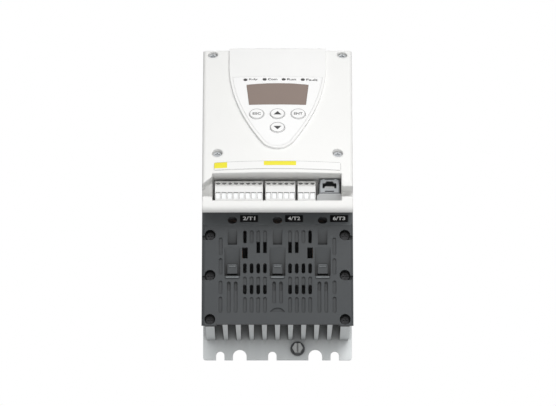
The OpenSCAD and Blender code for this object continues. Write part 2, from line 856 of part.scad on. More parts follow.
// One drafted side of the hood: a flat cut and two narrow bevels that round the edge to the crown
module drafted_side() {
    draft = atan(shell_draft);
    cut = shell_w / 2 * cos(draft) + (sink_front - crown_centre_d) * sin(draft);
    r = shell_edge_r;
    cz = cut - r;
    cx = sqrt(pow(crown_r - r, 2) - cz * cz);
    low = cut - shell_w;
    translate([0, -crown_centre_d, crown_centre_z]) rotate([0, 90, -draft])
        intersection_for (bevel = [[34, 0], [62, over]]) {
            reach = cx * cos(bevel[0]) + cz * sin(bevel[0]) + r;
            high = cut + bevel[1];
            translate([0, 0, low]) cylinder(
                h = high - low, r1 = (reach - low * sin(bevel[0])) / cos(bevel[0]),
                r2 = (reach - high * sin(bevel[0])) / cos(bevel[0]), $fn = 480);
        }
}

module hood_half() {
    intersection() {
        side(0, shell_w) hood_side_outline(0);
        translate([0, -crown_centre_d, crown_centre_z]) sphere(crown_r, $fn = 480);
        drafted_side();
    }
}

module hood_outer() {
    hood_half();
    mirror([1, 0, 0]) hood_half();
}

// The same front at a height above or below the hood's own face, flat across the sides
module crown_layer(outset) {
    intersection() {
        side(-shell_w, shell_w) hood_side_outline(outset);
        translate([0, -crown_centre_d, crown_centre_z]) sphere(crown_r + outset, $fn = 480);
    }
}

module hood_cavity() {
    wall = shell_wall;
    back = sink_front - over;
    difference() {
        intersection() {
            union() {
                crown_layer(-wall);
                block(-shell_w, shell_w, back, sink_front + over, hood_low_z - over, hood_top_z - wall);
                block(-shell_w, shell_w, back, recess_d - wall, hood_low_z - over, recess_top);
            }
            linear_extrude(far * 2) polygon([
                [wall - shell_half(back), -back], [shell_half(back) - wall, -back],
                [shell_half(far) - wall, -far], [wall - shell_half(far), -far]
            ]);
        }
        block(-shell_w, shell_w, recess_d - wall, far, 0, recess_top + wall);
    }
}

// Recess over the lip, with the rolled edge of the hood above its mouth
module recess_outline() {
    proud = 0.3;
    cz = recess_top + roll_r;
    cd = round_d(proud, roll_r, cz);
    out = [cd - crown_centre_d, cz - crown_centre_z] / norm([cd - crown_centre_d, cz - crown_centre_z]);
    difference() {
        union() {
            translate([recess_d, recess_z]) square([far, recess_h]);
            polygon([[cd, cz], [cd, cz] + far * out, [cd + far, recess_z], [cd, recess_z]]);
        }
        translate([cd, cz]) circle(roll_r);
    }
}

module recess_left_flare() {
    low = recess_z + wireway_up;
    high = low + wireway_h - 1;
    edge = -shell_w / 2 - over;
    polygon([
        [recess_left + over, recess_top - 2], [edge, high], [edge, low], [recess_left + over, low]
    ]);
}

// Boss around a hood screw, from its seat outwards
module hood_boss_cylinder(s, p, grow) {
    seat = -slope_drop(p[0], p[1]) - hood_well_depth - shell_wall - grow;
    slope_frame() translate([s * p[0], p[1], seat])
        cylinder(d = hood_well_d + 2 * boss_wall + 2 * grow, h = far);
}

module hood_screw_boss(s, p) {
    intersection() {
        crown_layer(-shell_wall / 4);
        hood_boss_cylinder(s, p, 0);
    }
}

module hood_screw_well(s, p) {
    seat = -slope_drop(p[0], p[1]) - hood_well_depth;
    slope_frame() translate([s * p[0], p[1], seat]) cylinder(d = hood_well_d, h = far);
    hood_screw_bore(s, p, screw_d + 4 * seat_gap, hood_well_depth + shell_wall + over);
}

board_post_z = recess_top + 34;
board_post_x = 36;

// Window in the recess's back wall for one header
module header_window(x, ways) {
    gap = 0.4;
    w = ways * way_pitch / 2 + gap;
    block(x - w, x + w, recess_d - shell_wall - over, recess_d + over, plug_z - gap, plug_z + plug_h + gap);
}

module jack_window() {
    gap = 0.4;
    w = jack_w / 2 + gap;
    block(jack_x - w, jack_x + w, recess_d - shell_wall - over, recess_d + over,
        jack_z - gap, jack_z + jack_h + gap);
}

module control_hood() color("whitesmoke") wall_frame() {
    difference() {
        union() {
            difference() {
                hood_outer();
                hood_cavity();
            }
            for (s = [-1, 1], p = hood_screw_places) hood_screw_boss(s, p);
            intersection() {
                crown_layer(-shell_wall / 4);
                for (s = [-1, 1]) rod(s * board_post_x, board_post_z, control_board_d + board_t, far, 7);
            }
        }
        side(recess_left, recess_right) recess_outline();
        block(0, shell_w, recess_d + 12, far, recess_z + wireway_up, recess_z + wireway_up + wireway_h);
        slab(recess_d + 12, far) recess_left_flare();
        for (s = [-1, 1], p = hood_screw_places) hood_screw_well(s, p);
        slope_frame() translate([0, 0, -20]) linear_extrude(40) panel_aperture();
        header_window(plug_8way_x, 8);
        header_window(plug_5way_x, 5);
        header_window(plug_3way_x, 3);
        jack_window();
    }
}

module hood_screws() color("gray") wall_frame() {
    for (s = [-1, 1], p = hood_screw_places)
        slope_frame() translate([s * p[0], p[1], -slope_drop(p[0], p[1]) - hood_well_depth]) case_screw();
}

// Display panel and what it carries

// Points of an arc from angle a0 to a1
function arc(centre, r, a0, a1, steps) =
    [for (i = [0:steps]) let (a = a0 + (a1 - a0) * i / steps) centre + r * [cos(a), sin(a)]];

function mirrored(points) = [for (i = [len(points) - 1:-1:0]) [-points[i][0], points[i][1]]];

// Shield shape: straight above, sides drawn in by large arcs to a round tip
module panel_outline(inset) {
    side_centre = [panel_half_w - panel_side_r, panel_straight_y];
    tip_y = panel_straight_y - sqrt(pow(panel_side_r - panel_tip_r, 2) - pow(side_centre[0], 2));
    turn = atan2(panel_straight_y - tip_y, -side_centre[0]);
    top = panel_straight_y + 60;
    right = concat(
        [[panel_half_w - inset, top]],
        arc(side_centre, panel_side_r - inset, 0, -turn, 12),
        [for (q = arc([0, tip_y], panel_tip_r - inset, -turn, -90, 5)) if (q[0] > 0.1) q]
    );
    polygon(concat(right, [[0, tip_y - panel_tip_r + inset]], mirrored(right)));
}

module panel_aperture() {
    intersection() {
        panel_outline(aperture_rim);
        translate([-panel_half_w, -far]) square([2 * panel_half_w, far + film_top_y + 2]);
    }
}

module film_outline(inset) {
    intersection() {
        panel_outline(inset);
        translate([-panel_half_w, -far]) square([2 * panel_half_w, far + film_top_y + film_rim - inset]);
    }
}

// Trapezium with an arched upper edge
module window_outline(grow) {
    arch_r = 220;
    half_top = window_top_w / 2 + grow;
    half_low = window_low_w / 2 + grow;
    top = window_y + window_h + grow;
    turn = asin(half_top / arch_r);
    polygon(concat(
        [[-half_low, window_y - grow], [half_low, window_y - grow]],
        arc([0, top - arch_r], arch_r, 90 - turn, 90 + turn, 10)
    ));
}

key_places = [[-key_dx, key_y], [0, key_y], [key_dx, key_y], [0, key_y - key_dy]];
post_side = window_top_w / 2 + 4.5;
post_high = window_y + window_h - 2.6;
post_low = key_y - 10.5;
post_in = key_dx * 5 / 8;
panel_posts = [[-post_side, post_high], [post_side, post_high], [-post_in, post_low], [post_in, post_low]];
led_places = [for (i = [0:3]) [led_x + i * led_pitch, led_y]];
film_level = panel_raise - film_t - seat_gap / 2;

module at_places(places) {
    for (p = places) translate([p[0], p[1]]) children();
}

module shield_panel() color("whitesmoke") wall_frame() {
    difference() {
        union() {
            intersection() {
                difference() {
                    crown_layer(panel_raise);
                    crown_layer(seat_gap);
                }
                slope_frame() translate([0, 0, -14]) linear_extrude(40) panel_outline(0);
            }
            slope_frame() at_places(panel_posts)
                translate([0, 0, -keypad_board_z]) cylinder(d = 4, h = keypad_board_z + 2);
        }
        difference() {
            slope_frame() translate([0, 0, -10]) linear_extrude(30) film_outline(film_rim - seat_gap);
            crown_layer(film_level);
        }
        slope_frame() translate([0, 0, -5]) linear_extrude(30) {
            window_outline(seat_gap);
            at_places(key_places) circle(d = key_d + 2 * running_gap);
            at_places(led_places) circle(d = led_d + 2 * seat_gap);
        }
    }
}

module keypad_overlay() color("white") wall_frame() {
    difference() {
        intersection() {
            crown_layer(film_level + seat_gap / 2 + film_t);
            slope_frame() translate([0, 0, -10]) linear_extrude(30) difference() {
                film_outline(film_rim);
                window_outline(seat_gap);
                at_places(key_places) circle(d = key_d + 2 * running_gap);
                at_places(led_places) circle(d = led_d + 2 * seat_gap);
            }
        }
        crown_layer(film_level + seat_gap / 2);
    }
}

module display_window() color("dimgray") wall_frame() {
    intersection() {
        difference() {
            crown_layer(panel_raise);
            crown_layer(panel_raise - window_t);
        }
        slope_frame() translate([0, 0, -10]) linear_extrude(30) window_outline(0);
    }
}

module display_module() color("black") wall_frame() {
    margin = 1.2;
    half = window_low_w / 2 - margin;
    level = panel_raise - window_t - slope_drop(half, window_y + window_h) - 2 * seat_gap;
    slope_frame() translate([-half, window_y + margin, -keypad_board_z])
        cube([2 * half, window_h - 3 * margin, keypad_board_z + level]);
}

module status_leds() color("darkred") wall_frame() {
    slope_frame() at_places(led_places) translate([0, 0, -keypad_board_z]) {
        dome_z = keypad_board_z + panel_raise - slope_drop(led_x, led_y) / 2 - led_d / 2;
        cylinder(d = led_d, h = dome_z);
        translate([0, 0, dome_z]) sphere(d = led_d);
    }
}

module keypad_board() color("darkgreen") wall_frame() {
    slope_frame() translate([0, 0, -keypad_board_z - board_t]) linear_extrude(board_t) intersection() {
        panel_outline(5);
        translate([-panel_half_w, -far]) square([2 * panel_half_w, far + film_top_y]);
    }
}

switch_w = 6;
switch_h = 3.4;
switch_tip = 0.8;

module key_switches() color("black") wall_frame() {
    slope_frame() at_places(key_places) translate([0, 0, -keypad_board_z]) {
        translate([-switch_w / 2, -switch_w / 2, 0]) cube([switch_w, switch_w, switch_h]);
        cylinder(d = 3.2, h = switch_h + switch_tip);
    }
}

// Round key with a rim that stays behind the panel and a stem towards its switch
module push_key(p) {
    level = -slope_drop(p[0], p[1]);
    top = level + panel_raise + key_proud;
    rim_top = level - 2 * running_gap;
    rim_low = rim_top - 1.2;
    stem_low = -keypad_board_z + switch_h + switch_tip + key_travel + running_gap;
    slope_frame() translate([p[0], p[1], 0]) {
        translate([0, 0, rim_low]) cylinder(d = key_d, h = top - rim_low);
        translate([0, 0, rim_low]) cylinder(d = key_d + 2 * key_rim, h = rim_top - rim_low);
        translate([0, 0, stem_low]) cylinder(d = 4, h = rim_low - stem_low + over / 2);
    }
}

module key_esc() color("white") wall_frame() { push_key(key_places[0]); }
module key_up() color("white") wall_frame() { push_key(key_places[1]); }
module key_enter() color("white") wall_frame() { push_key(key_places[2]); }
module key_down() color("white") wall_frame() { push_key(key_places[3]); }

module marker_strip() color("whitesmoke") wall_frame() {
    strip_t = 0.3;
    half = label_w / 2;
    difference() {
        intersection() {
            crown_layer(strip_t);
            slope_frame() translate([0, 0, -20]) linear_extrude(40)
                rounded_rect(-half, half, label_y, label_y + label_h, label_r);
        }
        crown_layer(0.02);
    }
}

// Control board with its plug-in terminals

header_h = plug_h - 3;
header_front = plug_back - 0.4;
pin_z = plug_z + 7.6;
pin_front = plug_back + 8;
entry_back = pin_front + 1;

function way_x(x, ways, i) = x + (i - (ways - 1) / 2) * way_pitch;

module control_board() color("darkgreen") wall_frame() {
    wide = shell_half(control_board_d) - shell_wall - 6;
    narrow = post_x - 7;
    shoulder = recess_top + 3;
    top = board_post_z + 5;
    slab(control_board_d, control_board_d + board_t) polygon([
        [-wide, recess_z], [wide, recess_z], [wide, recess_top], [narrow, shoulder],
        [narrow, top], [-narrow, top], [-narrow, shoulder], [-wide, recess_top]
    ]);
}

module pin_header(x, ways) {
    gap = 0.1;
    w = ways * way_pitch / 2;
    difference() {
        block(x - w, x + w, control_board_d + board_t, header_front, plug_z, plug_z + header_h);
        for (i = [0:ways - 1]) {
            px = way_x(x, ways, i);
            block(px - pin_w / 2 - gap, px + pin_w / 2 + gap, control_board_d, header_front + over,
                pin_z - pin_w / 2 - gap, pin_z + pin_w / 2 + gap);
        }
    }
}

module header_8way() color("darkgreen") wall_frame() { pin_header(plug_8way_x, 8); }
module header_5way() color("darkgreen") wall_frame() { pin_header(plug_5way_x, 5); }
module header_3way() color("darkgreen") wall_frame() { pin_header(plug_3way_x, 3); }

module pin_row(x, ways) {
    for (i = [0:ways - 1]) {
        px = way_x(x, ways, i);
        block(px - pin_w / 2, px + pin_w / 2, control_board_d + board_t, pin_front,
            pin_z - pin_w / 2, pin_z + pin_w / 2);
    }
}

module header_pins() color("gold") wall_frame() {
    pin_row(plug_8way_x, 8);
    pin_row(plug_5way_x, 5);
    pin_row(plug_3way_x, 3);
}

module plug_side_outline() {
    top = plug_z + plug_h;
    polygon([
        [plug_back, plug_z], [plug_front, plug_z], [plug_front, top - plug_bevel_h],
        [plug_front - plug_bevel_d, top], [plug_back, top]
    ]);
}

bevel_tilt = atan(plug_bevel_d / plug_bevel_h);

// Middle of the sloping screw face, Z straight out of it
module bevel_frame(x) {
    translate([x, plug_bevel_d / 2 - plug_front, plug_z + plug_h - plug_bevel_h / 2])
        rotate([90 - bevel_tilt, 0, 0]) children();
}

module plug(x, ways) {
    w = ways * way_pitch / 2;
    difference() {
        side(x - w, x + w) plug_side_outline();
        for (i = [0:ways - 1]) {
            px = way_x(x, ways, i);
            block(px - entry_w / 2, px + entry_w / 2, entry_back, plug_front + over,
                plug_z + entry_up, plug_z + entry_up + entry_h);
            block(px - pin_w / 2 - running_gap, px + pin_w / 2 + running_gap, plug_back - over,
                pin_front + running_gap, pin_z - pin_w / 2 - running_gap, pin_z + pin_w / 2 + running_gap);
            bevel_frame(px) translate([0, 0, -3]) cylinder(d = clamp_hole_d, h = 3 + over);
        }
    }
}

// Clamp screws and the metal clamps that they close
module plug_screws(x, ways) {
    head_h = 1.8;
    slot_w = 0.6;
    half = entry_w / 2 - seat_gap;
    low = plug_z + entry_up + seat_gap;
    for (i = [0:ways - 1]) {
        px = way_x(x, ways, i);
        block(px - half, px + half, entry_back + seat_gap, plug_front - clamp_back,
            low, low + entry_h - 2 * seat_gap);
        bevel_frame(px) translate([0, 0, -3]) difference() {
            cylinder(d = clamp_hole_d - 2 * seat_gap, h = head_h);
            translate([-clamp_hole_d, -slot_w / 2, head_h - slot_w]) cube([2 * clamp_hole_d, slot_w, head_h]);
        }
    }
}

module plug_8way() color("whitesmoke") wall_frame() { plug(plug_8way_x, 8); }
module plug_5way() color("whitesmoke") wall_frame() { plug(plug_5way_x, 5); }
module plug_3way() color("whitesmoke") wall_frame() { plug(plug_3way_x, 3); }
module plug_8way_screws() color("silver") wall_frame() { plug_screws(plug_8way_x, 8); }
module plug_5way_screws() color("silver") wall_frame() { plug_screws(plug_5way_x, 5); }
module plug_3way_screws() color("silver") wall_frame() { plug_screws(plug_3way_x, 3); }

// Data jack: shielded socket with its latch notch at the top

socket_z = jack_z + 1.6;

module comm_port() color("silver") wall_frame() {
    notch_w = 6;
    notch_h = 1.6;
    difference() {
        block(jack_x - jack_w / 2, jack_x + jack_w / 2, control_board_d + board_t, jack_front,
            jack_z, jack_z + jack_h);
        block(jack_x - socket_w / 2, jack_x + socket_w / 2, jack_front - socket_depth, jack_front + over,
            socket_z, socket_z + socket_h);
        block(jack_x - notch_w / 2, jack_x + notch_w / 2, jack_front - socket_depth, jack_front + over,
            socket_z, socket_z + socket_h + notch_h);
    }
}

module comm_contacts() color("gold") wall_frame() {
    contact_w = 0.5;
    contact_pitch = 1.02;
    for (i = [0:7]) {
        x = jack_x + (i - 3.5) * contact_pitch;
        side(x - contact_w / 2, x + contact_w / 2) polygon([
            [jack_front - socket_depth, socket_z], [jack_front - 3, socket_z],
            [jack_front - socket_depth, socket_z + 2.4]
        ]);
    }
}

// Power parts of the three poles

module_step = 4;

module thyristor_module(x) {
    foot_h = 8;
    step = module_step;
    block(x - module_w / 2, x + module_w / 2, sink_front, module_front - step, module_z, module_z + module_h);
    block(x - module_w / 2, x + module_w / 2, module_front - step - over, module_front,
        module_z, module_z + 2 * foot_h);
    block(x - module_w / 2, x + module_w / 2, module_front - step - over, module_front,
        module_z + module_h - 2 * foot_h, module_z + module_h);
}

module thyristor_module_1() color("black") wall_frame() { thyristor_module(module_places[0]); }
module thyristor_module_2() color("black") wall_frame() { thyristor_module(module_places[1]); }
module thyristor_module_3() color("black") wall_frame() { thyristor_module(module_places[2]); }

// Bypass relay on the front of its module
module bypass_relay(x) {
    margin = 3;
    z = module_z + module_h / 2;
    block(x - module_w / 2 + margin, x + module_w / 2 - margin,
        module_front - module_step, module_front + relay_out, z - relay_h / 2, z + relay_h / 2);
}

module bypass_relay_1() color("ivory") wall_frame() { bypass_relay(module_places[0]); }
module bypass_relay_2() color("ivory") wall_frame() { bypass_relay(module_places[1]); }
module bypass_relay_3() color("ivory") wall_frame() { bypass_relay(module_places[2]); }

module motor_busbar(x) {
    difference() {
        block(x - bar_w / 2, x + bar_w / 2, module_front, module_front + bar_t,
            motor_terminal_z - bar_w / 2, module_z + bar_lap);
        rod(x, motor_terminal_z, module_front - over, module_front + bar_t + over, stud_d + 2 * seat_gap);
    }
}

module motor_busbar_1() color("orange") wall_frame() { motor_busbar(poles[0]); }
module motor_busbar_2() color("orange") wall_frame() { motor_busbar(poles[1]); }
module motor_busbar_3() color("orange") wall_frame() { motor_busbar(poles[2]); }

// Line bar: from the top of the module back over it and up into the line block
module line_busbar(x) {
    low = module_z + module_h - bar_lap;
    difference() {
        side(x - bar_w / 2, x + bar_w / 2) polygon([
            [module_front, low], [module_front + bar_t, low], [module_front + bar_t, line_bar_z + bar_t],
            [line_bar_d + bar_t, line_bar_z + bar_t], [line_bar_d + bar_t, line_terminal_z + bar_w / 2],
            [line_bar_d, line_terminal_z + bar_w / 2], [line_bar_d, line_bar_z], [module_front, line_bar_z]
        ]);
        rod(x, line_terminal_z, line_bar_d - over, line_bar_d + bar_t + over, stud_d + 2 * seat_gap);
    }
}

module line_busbar_1() color("orange") wall_frame() { line_busbar(poles[0]); }
module line_busbar_2() color("orange") wall_frame() { line_busbar(poles[1]); }
module line_busbar_3() color("orange") wall_frame() { line_busbar(poles[2]); }

// Hexagon bolt with its thread inwards
module stud_bolt(x, z, d, len) {
    rod(x, z, d - len, d + over, stud_d);
    translate([x, -d, z]) rotate([90, 0, 0]) cylinder(d = stud_d * 1.9, h = stud_d * 0.65, $fn = 6);
}

module motor_terminal_screws() color("silver") wall_frame() {
    for (x = poles) stud_bolt(x, motor_terminal_z, module_front + bar_t, bar_t + motor_stud_reach);
}

module line_terminal_screws() color("silver") wall_frame() {
    for (x = poles) mirror([0, 1, 0]) translate([0, 2 * line_bar_d, 0])
        stud_bolt(x, line_terminal_z, line_bar_d, bar_t + line_stud_reach);
}

module line_terminal_block() color("dimgray") wall_frame() {
    half = base_half;
    back = plate_t;
    front = sink_front;
    floor_t = 5;
    wall = 4;
    gap = 0.5;
    ear_t = 9;
    ear_x = pole_pitch + pocket_w / 2;
    top = line_block_z + line_block_h;
    difference() {
        union() {
            block(-half, half, back, front, line_block_z, top);
            for (s = [-1, 1]) block(min(s * ear_x, s * half), max(s * ear_x, s * half), front - ear_t, front,
                top - over, base_top_z);
        }
        for (x = poles) {
            block(x - pocket_w / 2, x + pocket_w / 2, back + wall, line_bar_d + bar_t,
                line_block_z + floor_t, top + over);
            block(x - bar_w / 2 - gap, x + bar_w / 2 + gap, line_bar_d - gap, line_bar_d + bar_t + gap,
                line_block_z - over, line_block_z + floor_t + over);
            rod(x, line_terminal_z, line_bar_d, line_bar_d + bar_t + line_stud_reach + 2,
                stud_d + 2 * seat_gap);
        }
        for (s = [-1, 1])
            hood_screw_bore(s, hood_screw_places[0], screw_d + 4 * seat_gap, screw_len + over);
    }
}

mounting_plate();
heat_sink();
power_base();
terminal_cover();
control_hood();
shield_panel();
keypad_overlay();
display_window();
display_module();
status_leds();
keypad_board();
key_switches();
key_esc();
key_up();
key_enter();
key_down();
marker_strip();
phase_markers();
control_board();
header_8way();
header_5way();
header_3way();
header_pins();
plug_8way();
plug_8way_screws();
plug_5way();
plug_5way_screws();
plug_3way();
plug_3way_screws();
comm_port();
comm_contacts();
thyristor_module_1();
thyristor_module_2();
thyristor_module_3();
bypass_relay_1();
bypass_relay_2();
bypass_relay_3();
motor_busbar_1();
motor_busbar_2();
motor_busbar_3();
line_busbar_1();
line_busbar_2();
line_busbar_3();
motor_terminal_screws();
line_terminal_screws();
line_terminal_block();
cover_screws();
hood_screws();
earth_screw();
earth_washer();
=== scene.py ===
"""Looks of a wall-mounted three-phase soft starter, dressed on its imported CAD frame."""

import math

import bpy
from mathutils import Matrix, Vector


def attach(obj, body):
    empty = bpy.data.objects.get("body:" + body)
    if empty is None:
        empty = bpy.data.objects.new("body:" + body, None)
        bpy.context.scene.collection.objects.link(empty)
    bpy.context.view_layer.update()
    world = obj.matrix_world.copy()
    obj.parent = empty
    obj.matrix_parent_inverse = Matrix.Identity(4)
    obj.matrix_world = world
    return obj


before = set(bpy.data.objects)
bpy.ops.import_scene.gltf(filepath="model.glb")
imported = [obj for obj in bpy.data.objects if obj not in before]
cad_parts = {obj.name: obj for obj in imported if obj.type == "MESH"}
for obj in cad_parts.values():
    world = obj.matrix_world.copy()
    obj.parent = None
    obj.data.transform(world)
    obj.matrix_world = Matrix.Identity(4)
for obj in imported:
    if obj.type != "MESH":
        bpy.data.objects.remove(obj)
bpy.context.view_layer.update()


# Mounting plate. A 3 mm aluminium sheet, punched with open slots at its lower edge and
# lightly brushed. It carries the whole unit and is screwed to the cabinet's back plate.

mm = 0.001


def effect_group(name, takes, gives):
    """An empty effect with its named inputs and outputs, each given as a name and a kind."""
    group = bpy.data.node_groups.new(name, "ShaderNodeTree")
    for way, sockets in (("INPUT", takes), ("OUTPUT", gives)):
        for socket, kind in sockets:
            group.interface.new_socket(socket, in_out=way, socket_type="NodeSocket" + kind)
    return group, group.nodes.new("NodeGroupInput"), group.nodes.new("NodeGroupOutput")


def brushed_lines_group():
    """Streaks along one direction and slow blotches, both as values between 0 and 1."""
    group, inside, outside = effect_group(
        "brushed lines", (("Stretch", "Vector"), ("Blotch size", "Float")),
        (("Streak", "Float"), ("Blotch", "Float")))
    add, link = group.nodes.new, group.links.new
    place = add("ShaderNodeTexCoord").outputs["Object"]
    stretched = add("ShaderNodeVectorMath")
    stretched.operation = "MULTIPLY"
    streak, blotch = add("ShaderNodeTexNoise"), add("ShaderNodeTexNoise")
    streak.inputs["Scale"].default_value = 1.0
    streak.inputs["Detail"].default_value = 4.0
    blotch.inputs["Detail"].default_value = 3.0
    link(place, stretched.inputs[0])
    link(inside.outputs["Stretch"], stretched.inputs[1])
    link(stretched.outputs["Vector"], streak.inputs["Vector"])
    link(place, blotch.inputs["Vector"])
    link(inside.outputs["Blotch size"], blotch.inputs["Scale"])
    link(streak.outputs["Fac"], outside.inputs["Streak"])
    link(blotch.outputs["Fac"], outside.inputs["Blotch"])
    return group


def painted_hollow_shade_group():
    """Painted shade: a colour darkened in gaps and pockets within a reach in metres, where shade falls."""
    group, inside, outside = effect_group(
        "hollow shade", (("Colour", "Color"), ("Reach", "Float")), (("Colour", "Color"),))
    hollow = group.nodes.new("ShaderNodeAmbientOcclusion")
    hollow.samples = 8
    group.links.new(inside.outputs["Colour"], hollow.inputs["Color"])
    group.links.new(inside.outputs["Reach"], hollow.inputs["Distance"])
    group.links.new(hollow.outputs["Color"], outside.inputs["Colour"])
    return group


brushed_lines, painted_hollow_shade = brushed_lines_group(), painted_hollow_shade_group()


def place_effect(material, group, values):
    """Places an effect in a material, with the material's own values."""
    effect = material.node_tree.nodes.new("ShaderNodeGroup")
    effect.node_tree = group
    for socket, value in values.items():
        effect.inputs[socket].default_value = value
    return effect


def colour_mix(material, blend="MIX"):
    """A mix of two colours in a material: its share, lower, upper and result sockets."""
    mix = material.node_tree.nodes.new("ShaderNodeMix")
    mix.data_type = "RGBA"
    mix.blend_type = blend
    return mix.inputs[0], mix.inputs[6], mix.inputs[7], mix.outputs[2]


def two_tone(material, value, dark, light, painted_shade_reach):
    """Colours a material between two tones, and paints shade into its hollows where a reach for it is given."""
    link = material.node_tree.links.new
    share, lower, upper, tone = colour_mix(material)
    lower.default_value, upper.default_value = (*dark, 1.0), (*light, 1.0)
    link(value, share)
    # Painted shade in the hollows, where a reach for it is given.
    if painted_shade_reach:
        hollow = place_effect(material, painted_hollow_shade, {"Reach": painted_shade_reach})
        link(tone, hollow.inputs["Colour"])
        tone = hollow.outputs["Colour"]
    link(tone, material.node_tree.nodes["Principled BSDF"].inputs["Base Color"])


def roughen(material, value, span, rough):
    """Makes a material's roughness follow a value, from least to most over the value's span."""
    gloss = material.node_tree.nodes.new("ShaderNodeMapRange")
    gloss.inputs["From Min"].default_value, gloss.inputs["From Max"].default_value = span
    gloss.inputs["To Min"].default_value, gloss.inputs["To Max"].default_value = rough
    material.node_tree.links.new(value, gloss.inputs["Value"])
    material.node_tree.links.new(
        gloss.outputs["Result"], material.node_tree.nodes["Principled BSDF"].inputs["Roughness"])


def emboss(material, height, depth, strength):
    """Raises a height as a bump on a material, and gives the bump's own normal socket."""
    relief = material.node_tree.nodes.new("ShaderNodeBump")
    relief.inputs["Strength"].default_value = strength
    relief.inputs["Distance"].default_value = depth
    material.node_tree.links.new(height, relief.inputs["Height"])
    material.node_tree.links.new(
        relief.outputs["Normal"], material.node_tree.nodes["Principled BSDF"].inputs["Normal"])
    return relief.inputs["Normal"]


def brushed_metal(name, dark, light, stretch, rough, blotch_size=30.0, metallic=1.0, bump=0.05, painted_shade_reach=0.0):
    """Bare or plated metal whose colour and gloss follow its brushing.

    Stretch is how fine the streaks are along each axis, rough the least and most roughness.
    """
    streak_share, blotch_share, line_depth = 0.6, 0.4, 0.2 * mm
    material = bpy.data.materials.new(name)
    material.use_nodes = True
    material.node_tree.nodes["Principled BSDF"].inputs["Metallic"].default_value = metallic
    add, link = material.node_tree.nodes.new, material.node_tree.links.new
    lines = place_effect(material, brushed_lines, {"Stretch": stretch, "Blotch size": blotch_size})
    slow, both = add("ShaderNodeMath"), add("ShaderNodeMath")
    slow.operation, both.operation = "MULTIPLY", "MULTIPLY_ADD"
    slow.inputs[1].default_value = blotch_share
    both.inputs[1].default_value = streak_share
    link(lines.outputs["Blotch"], slow.inputs[0])
    link(lines.outputs["Streak"], both.inputs[0])
    link(slow.outputs[0], both.inputs[2])
    two_tone(material, both.outputs[0], dark, light, painted_shade_reach)
    roughen(material, lines.outputs["Blotch"], (0.0, 1.0), rough)
    emboss(material, lines.outputs["Streak"], line_depth, bump)
    return material


def dress(material, slot, *nodes):
    """Gives CAD nodes their finish."""
    for node in nodes:
        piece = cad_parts[node]
        piece.data.materials.clear()
        piece.data.materials.append(material)


# Painted shade darkens the sheet beside and below the heat sink, within its reach.
plate_sheet = brushed_metal("brushed aluminium sheet", (0.68, 0.705, 0.71), (0.85, 0.875, 0.88),
                            (160.0, 160.0, 9.0), (0.55, 0.68), metallic=0.3, painted_shade_reach=20.0 * mm)
dress(plate_sheet, "aluminium", "mounting_plate")


# Earth connection. A zinc-plated M5 hexagon screw with a slot, gone dull, on a dark
# phosphated washer; it is screwed into the plate beside the middle slot.

# Painted shade darkens the screw's hollows and edges.
earth_zinc = brushed_metal("dulled zinc plating", (0.40, 0.41, 0.41), (0.66, 0.67, 0.66),
                           (900.0, 900.0, 900.0), (0.34, 0.48), blotch_size=150.0, metallic=0.5,
                           painted_shade_reach=4.0 * mm)
dress(earth_zinc, "zinc_steel", "earth_screw")
washer_steel = brushed_metal("phosphated washer", (0.05, 0.052, 0.055), (0.13, 0.132, 0.135),
                             (1200.0, 1200.0, 1200.0), (0.4, 0.55), blotch_size=260.0, metallic=0.8)
dress(washer_steel, "zinc_steel", "earth_washer")


# Heat sink. One aluminium extrusion, left bare: die lines run along its fins, and the
# sawn ends are matt. It is screwed to the plate with its fins towards the wall.

# Painted shade darkens the deep gaps between the fins.
extrusion = brushed_metal("extruded aluminium", (0.64, 0.665, 0.67), (0.82, 0.845, 0.85),
                          (700.0, 700.0, 6.0), (0.42, 0.58), blotch_size=18.0, metallic=0.45, bump=0.12,
                          painted_shade_reach=50.0 * mm)
dress(extrusion, "aluminium", "heat_sink")


# Power base and line terminal block. Black glass-filled plastic mouldings: the base is
# screwed to the sink and carries the terminals, the block keeps the line cables apart.

def moulded_grain_group():
    """Spark-eroded tool texture as a fine height, a slow mottle from handling, and softened edges."""
    group, inside, outside = effect_group(
        "moulded grain", (("Grain scale", "Float"), ("Mottle scale", "Float"), ("Edge radius", "Float")),
        (("Grain", "Float"), ("Mottle", "Float"), ("Soft edges", "Vector")))
    add, link = group.nodes.new, group.links.new
    place = add("ShaderNodeTexCoord").outputs["Object"]
    grain, mottle = add("ShaderNodeTexNoise"), add("ShaderNodeTexNoise")
    grain.inputs["Detail"].default_value = 2.0
    mottle.inputs["Detail"].default_value = 5.0
    mottle.inputs["Roughness"].default_value = 0.6
    for noise, scale, out in ((grain, "Grain scale", "Grain"), (mottle, "Mottle scale", "Mottle")):
        link(place, noise.inputs["Vector"])
        link(inside.outputs[scale], noise.inputs["Scale"])
        link(noise.outputs["Fac"], outside.inputs[out])
    rounding = add("ShaderNodeBevel")
    rounding.samples = 6
    link(inside.outputs["Edge radius"], rounding.inputs["Radius"])
    link(rounding.outputs["Normal"], outside.inputs["Soft edges"])
    return group


moulded_grain = moulded_grain_group()


